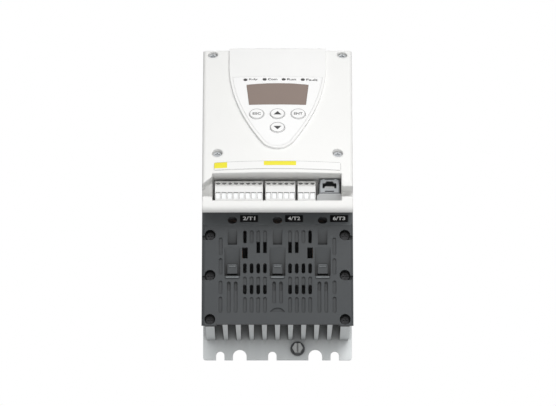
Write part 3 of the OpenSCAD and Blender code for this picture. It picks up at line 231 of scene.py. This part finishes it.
def moulded_plastic(name, dark, light, rough, grain=1800.0, mottle=40.0, bump=0.25, edge=0.4 * mm,
                    painted_shade_reach=0.0, gleam=0.5):
    """Injection-moulded plastic: tool texture as a bump, handling as a change of tone and gloss.

    Edge is the radius that its edges are softened to, and gleam how strongly its skin reflects.
    """
    mottle_span, grain_depth = (0.3, 0.7), 0.08 * mm
    material = bpy.data.materials.new(name)
    material.use_nodes = True
    material.node_tree.nodes["Principled BSDF"].inputs["Specular IOR Level"].default_value = gleam
    texture = place_effect(material, moulded_grain,
                           {"Grain scale": grain, "Mottle scale": mottle, "Edge radius": edge})
    two_tone(material, texture.outputs["Mottle"], dark, light, painted_shade_reach)
    roughen(material, texture.outputs["Mottle"], mottle_span, rough)
    smooth = emboss(material, texture.outputs["Grain"], grain_depth, bump)
    material.node_tree.links.new(texture.outputs["Soft edges"], smooth)
    return material


base_plastic = moulded_plastic("black glass-filled plastic", (0.022, 0.023, 0.025), (0.036, 0.037, 0.04),
                               (0.5, 0.65))
dress(base_plastic, "inner_plastic", "power_base", "line_terminal_block")


# Thyristor modules and bypass relays. Potted power modules in black epoxy cases, clamped
# to the sink, and ivory relay cans that bridge them once the motor is up to speed.

potting = moulded_plastic("black epoxy case", (0.012, 0.012, 0.013), (0.022, 0.022, 0.023), (0.4, 0.55),
                          grain=1200.0)
dress(potting, "black_plastic", "thyristor_module_1", "thyristor_module_2", "thyristor_module_3")
relay_can = moulded_plastic("ivory relay can", (0.52, 0.50, 0.43), (0.60, 0.58, 0.51), (0.42, 0.55))
dress(relay_can, "relay_plastic", "bypass_relay_1", "bypass_relay_2", "bypass_relay_3")


# Busbars and terminal bolts. Bare copper bars, cut and bent from strip, that lie on the
# modules and run to the terminals, each with a zinc-plated hexagon bolt.

copper = brushed_metal("copper bar", (0.52, 0.27, 0.17), (0.72, 0.42, 0.28), (60.0, 500.0, 12.0), (0.28, 0.42))
dress(copper, "copper", *[side + "_busbar_" + str(pole) for side in ("motor", "line") for pole in (1, 2, 3)])
bolt_zinc = brushed_metal("bright zinc plating", (0.46, 0.46, 0.45), (0.78, 0.78, 0.76),
                          (900.0, 900.0, 900.0), (0.24, 0.40), blotch_size=120.0)
dress(bolt_zinc, "zinc_steel", "motor_terminal_screws", "line_terminal_screws")


# Terminal cover. A vented shell in dark grey textured plastic over the motor terminals,
# held by six screws in deep wells and three spring tongues. Painted light lightens its
# upward-facing slopes, and painted shade darkens its hollows.

# Painted shade darkens the cover's wells, pockets and vents.
cover_plastic = moulded_plastic("dark grey textured plastic", (0.028, 0.0315, 0.034), (0.035, 0.0395, 0.043),
                                (0.50, 0.62), grain=1500.0, mottle=30.0, bump=0.35, painted_shade_reach=14.0 * mm)


def overcoat(material, mask, colour, blend="MIX"):
    """Lays a second colour over a material's own, as far as a mask says."""
    link = material.node_tree.links.new
    base = material.node_tree.nodes["Principled BSDF"].inputs["Base Color"]
    share, lower, upper, mixed = colour_mix(material, blend)
    upper.default_value = (*colour, 1.0)
    link(mask, share)
    link(base.links[0].from_socket, lower)
    link(mixed, base)


def paint_light_on_upward_faces(material, colour, cover):
    """Painted light: those slopes and ledges of a moulding that look up are lightened towards a colour."""
    least_slope, full_slope = 0.08, 0.35
    add, link = material.node_tree.nodes.new, material.node_tree.links.new
    # A mask of painted light, from how far each face looks up.
    facing, upward, film = add("ShaderNodeNewGeometry"), add("ShaderNodeSeparateXYZ"), add("ShaderNodeMapRange")
    film.inputs["From Min"].default_value = least_slope
    film.inputs["From Max"].default_value = full_slope
    film.inputs["To Max"].default_value = cover
    link(facing.outputs["Normal"], upward.inputs["Vector"])
    link(upward.outputs["Z"], film.inputs["Value"])
    overcoat(material, film.outputs["Result"], colour)


# Painted light: the cover's slopes that look up, such as the strip under the hood's lip, are lightened as if
# lit.
paint_light_on_upward_faces(cover_plastic, colour=(0.118, 0.127, 0.133), cover=0.8)
dress(cover_plastic, "dark_plastic", "terminal_cover")


# Latch ribs. Ribs on the three spring tongues and below their pockets, where the thumb
# presses: moulded in one with the cover, of the same dark plastic. Their pale grey is a
# painted highlight, for the light that their tops catch.

# Painted highlight: a pale grey for the ribs, standing in for light on their tops.
highlight_painted_plastic = moulded_plastic("highlight_painted grey plastic", (0.10, 0.11, 0.115), (0.20, 0.215, 0.225), (0.4, 0.52),
                                 grain=1500.0, mottle=420.0)
cover_front, wall_middle = 148.0, 129.1
latch_foot = 42.3 - wall_middle
poles = (-37.8, 0.0, 37.8)


def add_piece(name, mesh, material, body):
    """Puts a mesh into the scene as a piece of one material that rides on a body."""
    mesh.update()
    mesh.materials.clear()
    mesh.materials.append(material)
    piece = bpy.data.objects.new(name, mesh)
    bpy.context.collection.objects.link(piece)
    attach(piece, body)
    return piece


def round_edges(piece, radius, segments):
    """Rounds a piece's edges by a radius in mm."""
    soft = piece.modifiers.new("rounded edges", "BEVEL")
    soft.width = radius * mm
    soft.segments = segments


def rounded_rib(name, pole, half, proud, rise):
    """A bar across a pole, in mm.

    Half is half its width, proud its front and back before the cover, rise its lower and upper edge
    above the latch's foot.
    """
    corners = [Vector((x, -cover_front - y, latch_foot + z)) * mm
               for x in (pole - half, pole + half) for y in proud for z in rise]
    faces = [(0, 1, 3, 2), (4, 6, 7, 5), (0, 4, 5, 1), (2, 3, 7, 6), (0, 2, 6, 4), (1, 5, 7, 3)]
    mesh = bpy.data.meshes.new(name)
    mesh.from_pydata(corners, [], faces)
    rib = add_piece(name, mesh, highlight_painted_plastic, "starter")
    round_edges(rib, radius=0.18, segments=3)


for number, pole in enumerate(poles, start=1):
    rounded_rib("latch_rib_low_" + str(number), pole, half=5.4, proud=(0.95, 0.55), rise=(-2.0, -0.8))
    rounded_rib("latch_grip_%d_1" % number, pole, half=3.3, proud=(-0.55, -1.1), rise=(8.95, 9.65))
    rounded_rib("latch_grip_%d_2" % number, pole, half=2.9, proud=(-0.55, -1.1), rise=(7.75, 8.45))


# Case screws. Pan-head screws with a cross recess: six blackened ones deep in the cover's
# wells, four in clear-passivated zinc in the shallower wells of the hood.

blackened = brushed_metal("blackened steel", (0.012, 0.012, 0.013), (0.035, 0.035, 0.037),
                          (800.0, 800.0, 800.0), (0.36, 0.52), blotch_size=200.0, metallic=0.6)
dress(blackened, "dark_steel", "cover_screws")
pale_zinc = brushed_metal("clear-passivated zinc", (0.40, 0.415, 0.43), (0.56, 0.575, 0.59),
                          (900.0, 900.0, 900.0), (0.42, 0.55), blotch_size=160.0, metallic=0.35)
dress(pale_zinc, "zinc_steel", "hood_screws")


# Phase markers. Three small black plates set into the folded strip of the cover, with the
# motor terminal's mark printed on each in white.

marker_plastic = moulded_plastic("black marker plate", (0.004, 0.004, 0.0045), (0.007, 0.007, 0.0075),
                                 (0.55, 0.65), gleam=0.1)
dress(marker_plastic, "black_plastic", "phase_markers")


def printing_ink(name, dark, light):
    """A thin coat of screen-printing ink, slightly uneven."""
    return moulded_plastic(name, dark, light, (0.45, 0.6), grain=4000.0, mottle=300.0, bump=0.05,
                           edge=0.05 * mm)


def glyphs(words, width, height):
    """Flat outlines of a word as points and faces, centred on zero and fitted to a size in mm."""
    stroke_swell = 0.024
    curve = bpy.data.curves.new(words, "FONT")
    curve.body = words
    curve.offset = stroke_swell
    curve.resolution_u = 3
    writing = bpy.data.objects.new(words, curve)
    bpy.context.collection.objects.link(writing)
    drawn = writing.evaluated_get(bpy.context.evaluated_depsgraph_get()).to_mesh()
    points = [vertex.co.xy.copy() for vertex in drawn.vertices]
    faces = [tuple(face.vertices) for face in drawn.polygons]
    writing.to_mesh_clear()
    bpy.data.objects.remove(writing)
    low = [min(point[axis] for point in points) for axis in (0, 1)]
    high = [max(point[axis] for point in points) for axis in (0, 1)]
    fitted = [((point.x - (low[0] + high[0]) / 2) * width / (high[0] - low[0]),
               (point.y - (low[1] + high[1]) / 2) * height / (high[1] - low[1])) for point in points]
    return fitted, faces


def on_plane(middle, up):
    """A flat face, to the right and up from its middle in mm, as a surface for printing."""
    return lambda x, y: (middle + Vector((x, 0.0, 0.0)) + up * y) * mm


def printed(name, shape, surface, ink, body):
    """A printed mark: a flat shape in mm laid on a surface, which gives each point its place."""
    points, faces = shape
    mesh = bpy.data.meshes.new(name)
    mesh.from_pydata([surface(x, y) for x, y in points], [], faces)
    add_piece(name, mesh, ink, body)


white_ink = printing_ink("white printing ink", (0.80, 0.80, 0.79), (0.88, 0.88, 0.87))
strip_setback, strip_rise, fold_height = 7.5, 12.5, 86.0
strip_tilt = math.atan2(strip_setback, strip_rise)
strip_up = Vector((0.0, math.sin(strip_tilt), math.cos(strip_tilt)))
strip_out = Vector((0.0, -math.cos(strip_tilt), math.sin(strip_tilt)))
strip_fold = Vector((0.0, -cover_front, fold_height - wall_middle))
marker_aside, marker_up, marker_top, ink_coat = 13.9, 7.4, 0.3, 0.03
number_w, number_h = 10.4, 4.3
for pole, words in zip(poles, ("2/T1", "4/T2", "6/T3")):
    middle = (strip_fold + Vector((pole + marker_aside, 0.0, 0.0)) + strip_up * marker_up
              + strip_out * (marker_top + ink_coat))
    printed("marker_" + words.replace("/", "_"), glyphs(words, number_w, number_h),
            on_plane(middle, strip_up), white_ink, "starter")


# Control board and pin headers. A green circuit board behind the recess, with dark grey
# headers and gold-plated square pins that the plugs are pushed onto.

board_mask = moulded_plastic("green solder mask", (0.012, 0.075, 0.035), (0.02, 0.11, 0.05), (0.3, 0.42),
                             grain=900.0)
dress(board_mask, "circuit_board", "control_board")
header_plastic = moulded_plastic("dark grey header plastic", (0.07, 0.075, 0.075), (0.10, 0.105, 0.105),
                                 (0.45, 0.55))
dress(header_plastic, "header_plastic", "header_8way", "header_5way", "header_3way")
gold_plating = brushed_metal("gold-plated contact", (0.62, 0.46, 0.20), (0.86, 0.66, 0.30),
                             (500.0, 40.0, 500.0), (0.2, 0.3))
dress(gold_plating, "contact_metal", "header_pins", "comm_contacts")


# Plug-in terminals. Three white moulded screw-terminal plugs pushed onto the headers, with
# a tinned clamp at the wire entry and a slotted clamp screw for each way, darkened as painted
# shade of its deep hole.

# Painted shade darkens the plugs' screw holes and wire entries.
plug_plastic = moulded_plastic("white plug plastic", (0.74, 0.74, 0.73), (0.80, 0.80, 0.79), (0.4, 0.52),
                               grain=2200.0, painted_shade_reach=3.0 * mm)
dress(plug_plastic, "plug_white", "plug_8way", "plug_5way", "plug_3way")


def clamp_metal(screw_foot, hole_shade_tint):
    """Tinned clamps, and the screws above a height in mm darkened as painted shade of their holes, in one
    plating.
    """
    material = brushed_metal("tinned clamps and dark screws", (0.62, 0.63, 0.63), (0.86, 0.87, 0.87),
                             (900.0, 900.0, 900.0), (0.35, 0.5), blotch_size=200.0, metallic=0.35)
    add, link = material.node_tree.nodes.new, material.node_tree.links.new
    place, split, above = add("ShaderNodeTexCoord"), add("ShaderNodeSeparateXYZ"), add("ShaderNodeMath")
    above.operation = "GREATER_THAN"
    above.inputs[1].default_value = screw_foot * mm
    link(place.outputs["Object"], split.inputs["Vector"])
    link(split.outputs["Z"], above.inputs[0])
    overcoat(material, above.outputs[0], hole_shade_tint, "MULTIPLY")
    return material


# Painted shade: the screws, deep in their holes, are darkened nearly to black.
clamps_and_screws = clamp_metal(screw_foot=-14.0, hole_shade_tint=(0.06, 0.062, 0.065))
dress(clamps_and_screws, "zinc_steel", "plug_8way_screws", "plug_5way_screws", "plug_3way_screws")


# Data jack. A nickel-plated shielded socket soldered to the control board. A grey moulded
# insert closes its face around the plug's mouth, and eight spring wires lie behind it.

nickel = brushed_metal("nickel-plated shield", (0.07, 0.075, 0.08), (0.13, 0.135, 0.14),
                       (90.0, 30.0, 700.0), (0.3, 0.45))
dress(nickel, "jack_metal", "comm_port")
jack_middle = Vector((43.7, -150.0, 118.9 - wall_middle))


def cut_plate(name, outlines, back, thickness, radius, material):
    """A plate in mm from the jack's middle: the first outline is its edge, the others are holes in it."""
    curve = bpy.data.curves.new(name, "CURVE")
    curve.dimensions = "2D"
    curve.fill_mode = "BOTH"
    curve.extrude = (thickness / 2 - radius) * mm
    curve.bevel_depth = radius * mm
    curve.bevel_resolution = 1
    for corners in outlines:
        edge = curve.splines.new("POLY")
        edge.points.add(len(corners) - 1)
        edge.use_cyclic_u = True
        for point, (x, z) in zip(edge.points, corners):
            point.co = (x * mm, z * mm, 0.0, 1.0)
    drawing = bpy.data.objects.new(name + "_drawing", curve)
    bpy.context.collection.objects.link(drawing)
    mesh = bpy.data.meshes.new_from_object(drawing.evaluated_get(bpy.context.evaluated_depsgraph_get()))
    bpy.data.objects.remove(drawing)
    for vertex in mesh.vertices:
        x, z, out = vertex.co
        vertex.co = jack_middle * mm + Vector((x, (back - thickness / 2) * mm - out, z))
    mesh.flip_normals()
    add_piece(name, mesh, material, "starter")


insert_plastic = moulded_plastic("grey jack insert", (0.42, 0.44, 0.46), (0.50, 0.52, 0.54), (0.4, 0.5))
insert_edge = [(-7.6, -5.5), (7.6, -5.5), (7.9, 1.0), (7.4, 5.3), (5.9, 5.4), (5.7, 6.2), (4.3, 6.2),
               (4.1, 5.4), (-4.1, 5.4), (-4.3, 6.2), (-5.7, 6.2), (-5.9, 5.4), (-7.4, 5.3), (-7.9, 1.0)]
plug_mouth = [(-5.9, -1.9), (-5.9, 2.6), (-3.9, 2.8), (-2.5, 4.3), (2.5, 4.3), (3.9, 2.8), (5.9, 2.6),
              (5.9, -1.9)]
shield_slot = [(-3.9, -5.1), (3.9, -5.1), (3.9, -3.8), (-3.9, -3.8)]
cut_plate("jack_insert", (insert_edge, plug_mouth, shield_slot), back=-0.02, thickness=0.5, radius=0.08,
          material=insert_plastic)


def contact_wires(wires, pitch, half):
    """Spring wires side by side behind the mouth's lower edge, bent back at their tops, in mm."""
    bend = [(-0.1, -2.2), (-0.1, -0.3), (0.5, 0.15), (2.6, 0.4), (2.6, -0.3), (0.8, -0.5), (0.6, -2.2)]
    count = len(bend)
    points, faces = [], []
    for number in range(wires):
        x, left = (number - (wires - 1) / 2) * pitch, len(points)
        right = left + count
        points += [(jack_middle + Vector((x + side, y, z))) * mm for side in (-half, half) for y, z in bend]
        faces += [(left + i, left + (i + 1) % count, right + (i + 1) % count, right + i) for i in range(count)]
        faces += [tuple(left + i for i in reversed(range(count))), tuple(right + i for i in range(count))]
    mesh = bpy.data.meshes.new("jack_contact_wires")
    mesh.from_pydata(points, [], faces)
    tinned = brushed_metal("tinned spring wire", (0.50, 0.51, 0.52), (0.72, 0.73, 0.73),
                           (500.0, 500.0, 60.0), (0.38, 0.5), metallic=0.3)
    row = add_piece("jack_contact_wires", mesh, tinned, "starter")
    round_edges(row, radius=0.06, segments=2)


contact_wires(wires=8, pitch=1.02, half=0.37)


# Jack skirt. A pale grey moulded apron in the recess that closes the gap between the data
# jack and the recess floor; it is set in a little behind the jack's face.

skirt_plastic = moulded_plastic("pale grey skirt", (0.46, 0.47, 0.475), (0.54, 0.55, 0.555), (0.5, 0.6))
skirt_edge = [(-10.6, -15.9), (9.5, -15.9), (9.5, -6.6), (8.4, -6.55), (-8.4, -6.55), (-10.6, -8.2)]
cut_plate("jack_skirt", (skirt_edge,), back=0.9, thickness=1.4, radius=0.2,
          material=skirt_plastic)


# Control hood. A crowned white moulding over the electronics, with a recess for the
# plugs above its lower lip, held by four screws in round wells.

hood_plastic = moulded_plastic("white textured plastic", (0.80, 0.80, 0.785), (0.85, 0.85, 0.835),
                               (0.45, 0.58), grain=1700.0, mottle=22.0, bump=0.22, edge=2.4 * mm)
dress(hood_plastic, "white_plastic", "control_hood")


# Label strip. A thin white film stuck on the hood above the plugs, with a fine grey border
# and two plain yellow fields printed on it.

hood_tilt = math.radians(32.0)
hood_up = Vector((0.0, math.sin(hood_tilt), math.cos(hood_tilt)))
hood_out = Vector((0.0, -math.cos(hood_tilt), math.sin(hood_tilt)))
hood_middle = Vector((0.0, -130.3, 194.9 - wall_middle))
crown_r = 650.0


def on_crown(height):
    """The crowned front at a height above the hood's own face, as a surface for printing."""
    def surface(x, y):
        z = math.sqrt((crown_r + height) ** 2 - x * x - y * y) - crown_r
        return (hood_middle + Vector((x, 0.0, 0.0)) + hood_up * y + hood_out * z) * mm
    return surface


def field(x0, x1, y0, y1, steps=12):
    """A rectangle cut into narrow strips, so that it follows the crown."""
    points, faces = [], []
    for i in range(steps + 1):
        x = x0 + (x1 - x0) * i / steps
        points += [(x, y0), (x, y1)]
    for i in range(steps):
        faces.append((2 * i, 2 * i + 2, 2 * i + 3, 2 * i + 1))
    return points, faces


label_film = moulded_plastic("white label film", (0.80, 0.80, 0.79), (0.84, 0.84, 0.83), (0.35, 0.45),
                             grain=3000.0)
dress(label_film, "film_white", "marker_strip")
grey_ink = printing_ink("grey printing ink", (0.20, 0.20, 0.20), (0.27, 0.27, 0.27))
yellow_ink = printing_ink("yellow printing ink", (0.76, 0.68, 0.018), (0.81, 0.73, 0.03))
label_t = 0.3
label_top = on_crown(label_t + ink_coat)
for name, edges, ink in (("label_field_left", (-53.0, -42.2, -71.8, -65.7), yellow_ink),
                         ("label_field_middle", (-11.5, 15.6, -70.1, -65.6), yellow_ink),
                         ("label_line_top", (-52.4, 52.4, -65.6, -65.4), grey_ink),
                         ("label_line_low", (-52.4, 52.4, -73.9, -73.6), grey_ink),
                         ("label_line_left", (-53.2, -52.9, -73.2, -66.1), grey_ink),
                         ("label_line_right", (52.9, 53.2, -73.2, -66.1), grey_ink)):
    printed(name, field(*edges), label_top, ink, "starter")


# Shield panel. The raised moulding around the display, in white satin plastic, fixed to
# the hood from behind; its upper end rolls over the hood's top.

panel_plastic = moulded_plastic("white satin plastic", (0.82, 0.82, 0.81), (0.87, 0.87, 0.86),
                                (0.38, 0.50), grain=2400.0, mottle=25.0, bump=0.15)
dress(panel_plastic, "white_plastic", "shield_panel")


# Keypad film. A matt printed film let into the panel, cut out around window, lamps and
# keys, with the lamp legends printed in black.

film_sheet = moulded_plastic("white keypad film", (0.84, 0.84, 0.835), (0.88, 0.88, 0.875), (0.45, 0.55),
                             grain=3500.0)
dress(film_sheet, "film_white", "keypad_overlay")
black_ink = printing_ink("black printing ink", (0.018, 0.018, 0.019), (0.03, 0.03, 0.031))
panel_raise = 2.0
film_top = on_crown(panel_raise + ink_coat)
lamp_row, first_lamp, lamp_pitch = 32.1, -27.5, 16.4
legend_aside, legend_h = 3.0, 2.9
for number, (words, width) in enumerate((("Rdy", 7.6), ("Com", 8.0), ("Run", 7.6), ("Fault", 9.8))):
    middle = first_lamp + lamp_pitch * number + legend_aside + width / 2
    points, faces = glyphs(words, width, legend_h)
    shape = [(x + middle, y + lamp_row) for x, y in points], faces
    printed("legend_" + words.lower(), shape, film_top, black_ink, "starter")


# Display. A smoked acrylic window let in flush with the film, over a black display module
# that is soldered to the keypad board.

smoked = moulded_plastic("smoked acrylic", (0.215, 0.163, 0.138), (0.25, 0.192, 0.163), (0.08, 0.14),
                         grain=300.0, mottle=12.0, bump=0.0)
dress(smoked, "smoked_window", "display_window")
dress(potting, "black_plastic", "display_module")


# Indicator lamps. Four small domed lamps in dark clear plastic, soldered to the keypad
# board and reaching through the film. They are unlit.

lens = moulded_plastic("dark lamp lens", (0.022, 0.020, 0.020), (0.04, 0.036, 0.035), (0.12, 0.2), bump=0.0)
dress(lens, "lamp_lens", "status_leds")


# Keypad board. A green circuit board behind the panel, with a black push switch soldered
# on under each key.

dress(board_mask, "circuit_board", "keypad_board")
dress(potting, "black_plastic", "key_switches")


# Keys. Four round white caps in satin plastic, each with a rim that holds it behind the
# panel, with its mark printed on it and a fine grey ring near its edge.

key_plastic = moulded_plastic("white key plastic", (0.84, 0.84, 0.835), (0.88, 0.88, 0.875), (0.38, 0.48),
                              grain=2600.0)
dress(key_plastic, "key_white", "key_esc", "key_up", "key_enter", "key_down")


def ring(inner, outer, steps=48):
    """A flat ring as points and faces."""
    points, faces = [], []
    for i in range(steps):
        turn = 2.0 * math.pi * i / steps
        points += [(r * math.cos(turn), r * math.sin(turn)) for r in (inner, outer)]
    for i in range(steps):
        j = (i + 1) % steps
        faces.append((2 * i, 2 * i + 1, 2 * j + 1, 2 * j))
    return points, faces


def arrow(width, height, shift):
    """A triangle that points up, or down where its height is negative, moved from the cap's middle."""
    foot, tip = shift - height / 2, shift + height / 2
    return [(-width / 2, foot), (width / 2, foot), (0.0, tip)], [(0, 1, 2)]


key_r, key_proud, key_aside, key_row, key_drop = 6.2, 0.5, 17.6, -12.4, 16.6
arrow_w, arrow_h, arrow_shift = 6.8, 4.3, 0.7
key_ring = ring(inner=key_r - 0.62, outer=key_r - 0.22)
for key, (x, y), mark in (("key_esc", (-key_aside, key_row), glyphs("ESC", 7.0, legend_h)),
                          ("key_up", (0.0, key_row), arrow(arrow_w, arrow_h, arrow_shift)),
                          ("key_enter", (key_aside, key_row), glyphs("ENT", 7.4, legend_h)),
                          ("key_down", (0.0, key_row - key_drop), arrow(arrow_w, -arrow_h, -arrow_shift))):
    level = panel_raise + key_proud - (x * x + y * y) / (2.0 * crown_r) + ink_coat
    cap = on_plane(hood_middle + Vector((x, 0.0, 0.0)) + hood_up * y + hood_out * level, hood_up)
    printed(key + "_mark", mark, cap, black_ink, key)
    printed(key + "_ring", key_ring, cap, grey_ink, key)


# Studio. A pale paper floor well below the unit, which hangs as on its wall, a large soft
# key lamp from the upper right, a soft fill from low in front and a white surround.

def floor_sheet(reach, height, glow):
    """Pale paper seen from above; from below it is clear, so that the unit's underside can be looked at."""
    mesh = bpy.data.meshes.new("studio_floor")
    corners = ((-reach, -reach), (reach, -reach), (reach, reach), (-reach, reach))
    mesh.from_pydata([(x, y, height) for x, y in corners], [], [(0, 1, 2, 3)])
    mesh.update()
    sheet = bpy.data.objects.new("studio_floor", mesh)
    bpy.context.collection.objects.link(sheet)
    paper = bpy.data.materials.new("pale floor paper")
    paper.use_nodes = True
    add, link = paper.node_tree.nodes.new, paper.node_tree.links.new
    surface = paper.node_tree.nodes["Principled BSDF"]
    surface.inputs["Base Color"].default_value = (0.86, 0.86, 0.86, 1.0)
    surface.inputs["Roughness"].default_value = 0.9
    surface.inputs["Emission Color"].default_value = (1.0, 1.0, 1.0, 1.0)
    path, pale = add("ShaderNodeLightPath"), add("ShaderNodeMath")
    pale.operation = "MULTIPLY"
    pale.inputs[1].default_value = glow
    link(path.outputs["Is Camera Ray"], pale.inputs[0])
    link(pale.outputs[0], surface.inputs["Emission Strength"])
    side, clear = add("ShaderNodeNewGeometry"), add("ShaderNodeBsdfTransparent")
    both = add("ShaderNodeMixShader")
    link(side.outputs["Backfacing"], both.inputs[0])
    link(surface.outputs[0], both.inputs[1])
    link(clear.outputs[0], both.inputs[2])
    link(both.outputs[0], paper.node_tree.nodes["Material Output"].inputs["Surface"])
    mesh.materials.append(paper)


def soft_lamp(name, place, size, watts):
    """A round soft lamp that looks at the unit's middle."""
    lamp = bpy.data.lights.new(name, "AREA")
    lamp.shape = "DISK"
    lamp.size = size
    lamp.energy = watts
    stand = bpy.data.objects.new(name, lamp)
    stand.location = place
    stand.rotation_euler = (-Vector(place)).to_track_quat("-Z", "Y").to_euler()
    bpy.context.collection.objects.link(stand)


def white_surround(strength):
    """A surround that is white where it is seen, mirrored or seen through, and dimmer as a light."""
    world = bpy.data.worlds.new("white surround")
    bpy.context.scene.world = world
    world.use_nodes = True
    add, link = world.node_tree.nodes.new, world.node_tree.links.new
    light = world.node_tree.nodes["Background"]
    light.inputs["Color"].default_value = (1.0, 1.0, 1.0, 1.0)
    path = add("ShaderNodeLightPath")
    mirrored, shown, bright = add("ShaderNodeMath"), add("ShaderNodeMath"), add("ShaderNodeMath")
    mirrored.operation, shown.operation, bright.operation = "MAXIMUM", "MAXIMUM", "MULTIPLY_ADD"
    bright.inputs[1].default_value = 1.0 - strength
    bright.inputs[2].default_value = strength
    link(path.outputs["Is Camera Ray"], mirrored.inputs[0])
    link(path.outputs["Is Glossy Ray"], mirrored.inputs[1])
    link(mirrored.outputs[0], shown.inputs[0])
    link(path.outputs["Is Transmission Ray"], shown.inputs[1])
    link(shown.outputs[0], bright.inputs[0])
    link(bright.outputs[0], light.inputs["Strength"])


floor_sheet(reach=6.0, height=-1.6, glow=0.45)
white_surround(strength=0.34)
soft_lamp("key_lamp", (0.34, -1.25, 0.90), size=1.5, watts=17.0)
soft_lamp("low_fill_lamp", (0.12, -1.90, -0.90), size=0.9, watts=11.0)


# Camera. A long lens three metres away, straight in front of the unit and a little below
# its middle, at the photograph's viewing angle.

target, distance, lift = Vector((0.00043, -0.090, -0.0097)), 3.0, math.radians(-14.0)
long_lens = bpy.data.cameras.new("photo_camera")
long_lens.sensor_fit = "HORIZONTAL"
long_lens.sensor_width = 36.0
long_lens.lens = 226.6
camera = bpy.data.objects.new("photo_camera", long_lens)
camera.location = target + distance * Vector((0.0, -math.cos(lift), math.sin(lift)))
camera.rotation_euler = (target - camera.location).to_track_quat("-Z", "Y").to_euler()
bpy.context.collection.objects.link(camera)
bpy.context.scene.camera = camera
bpy.context.scene.view_settings.view_transform = "Standard"
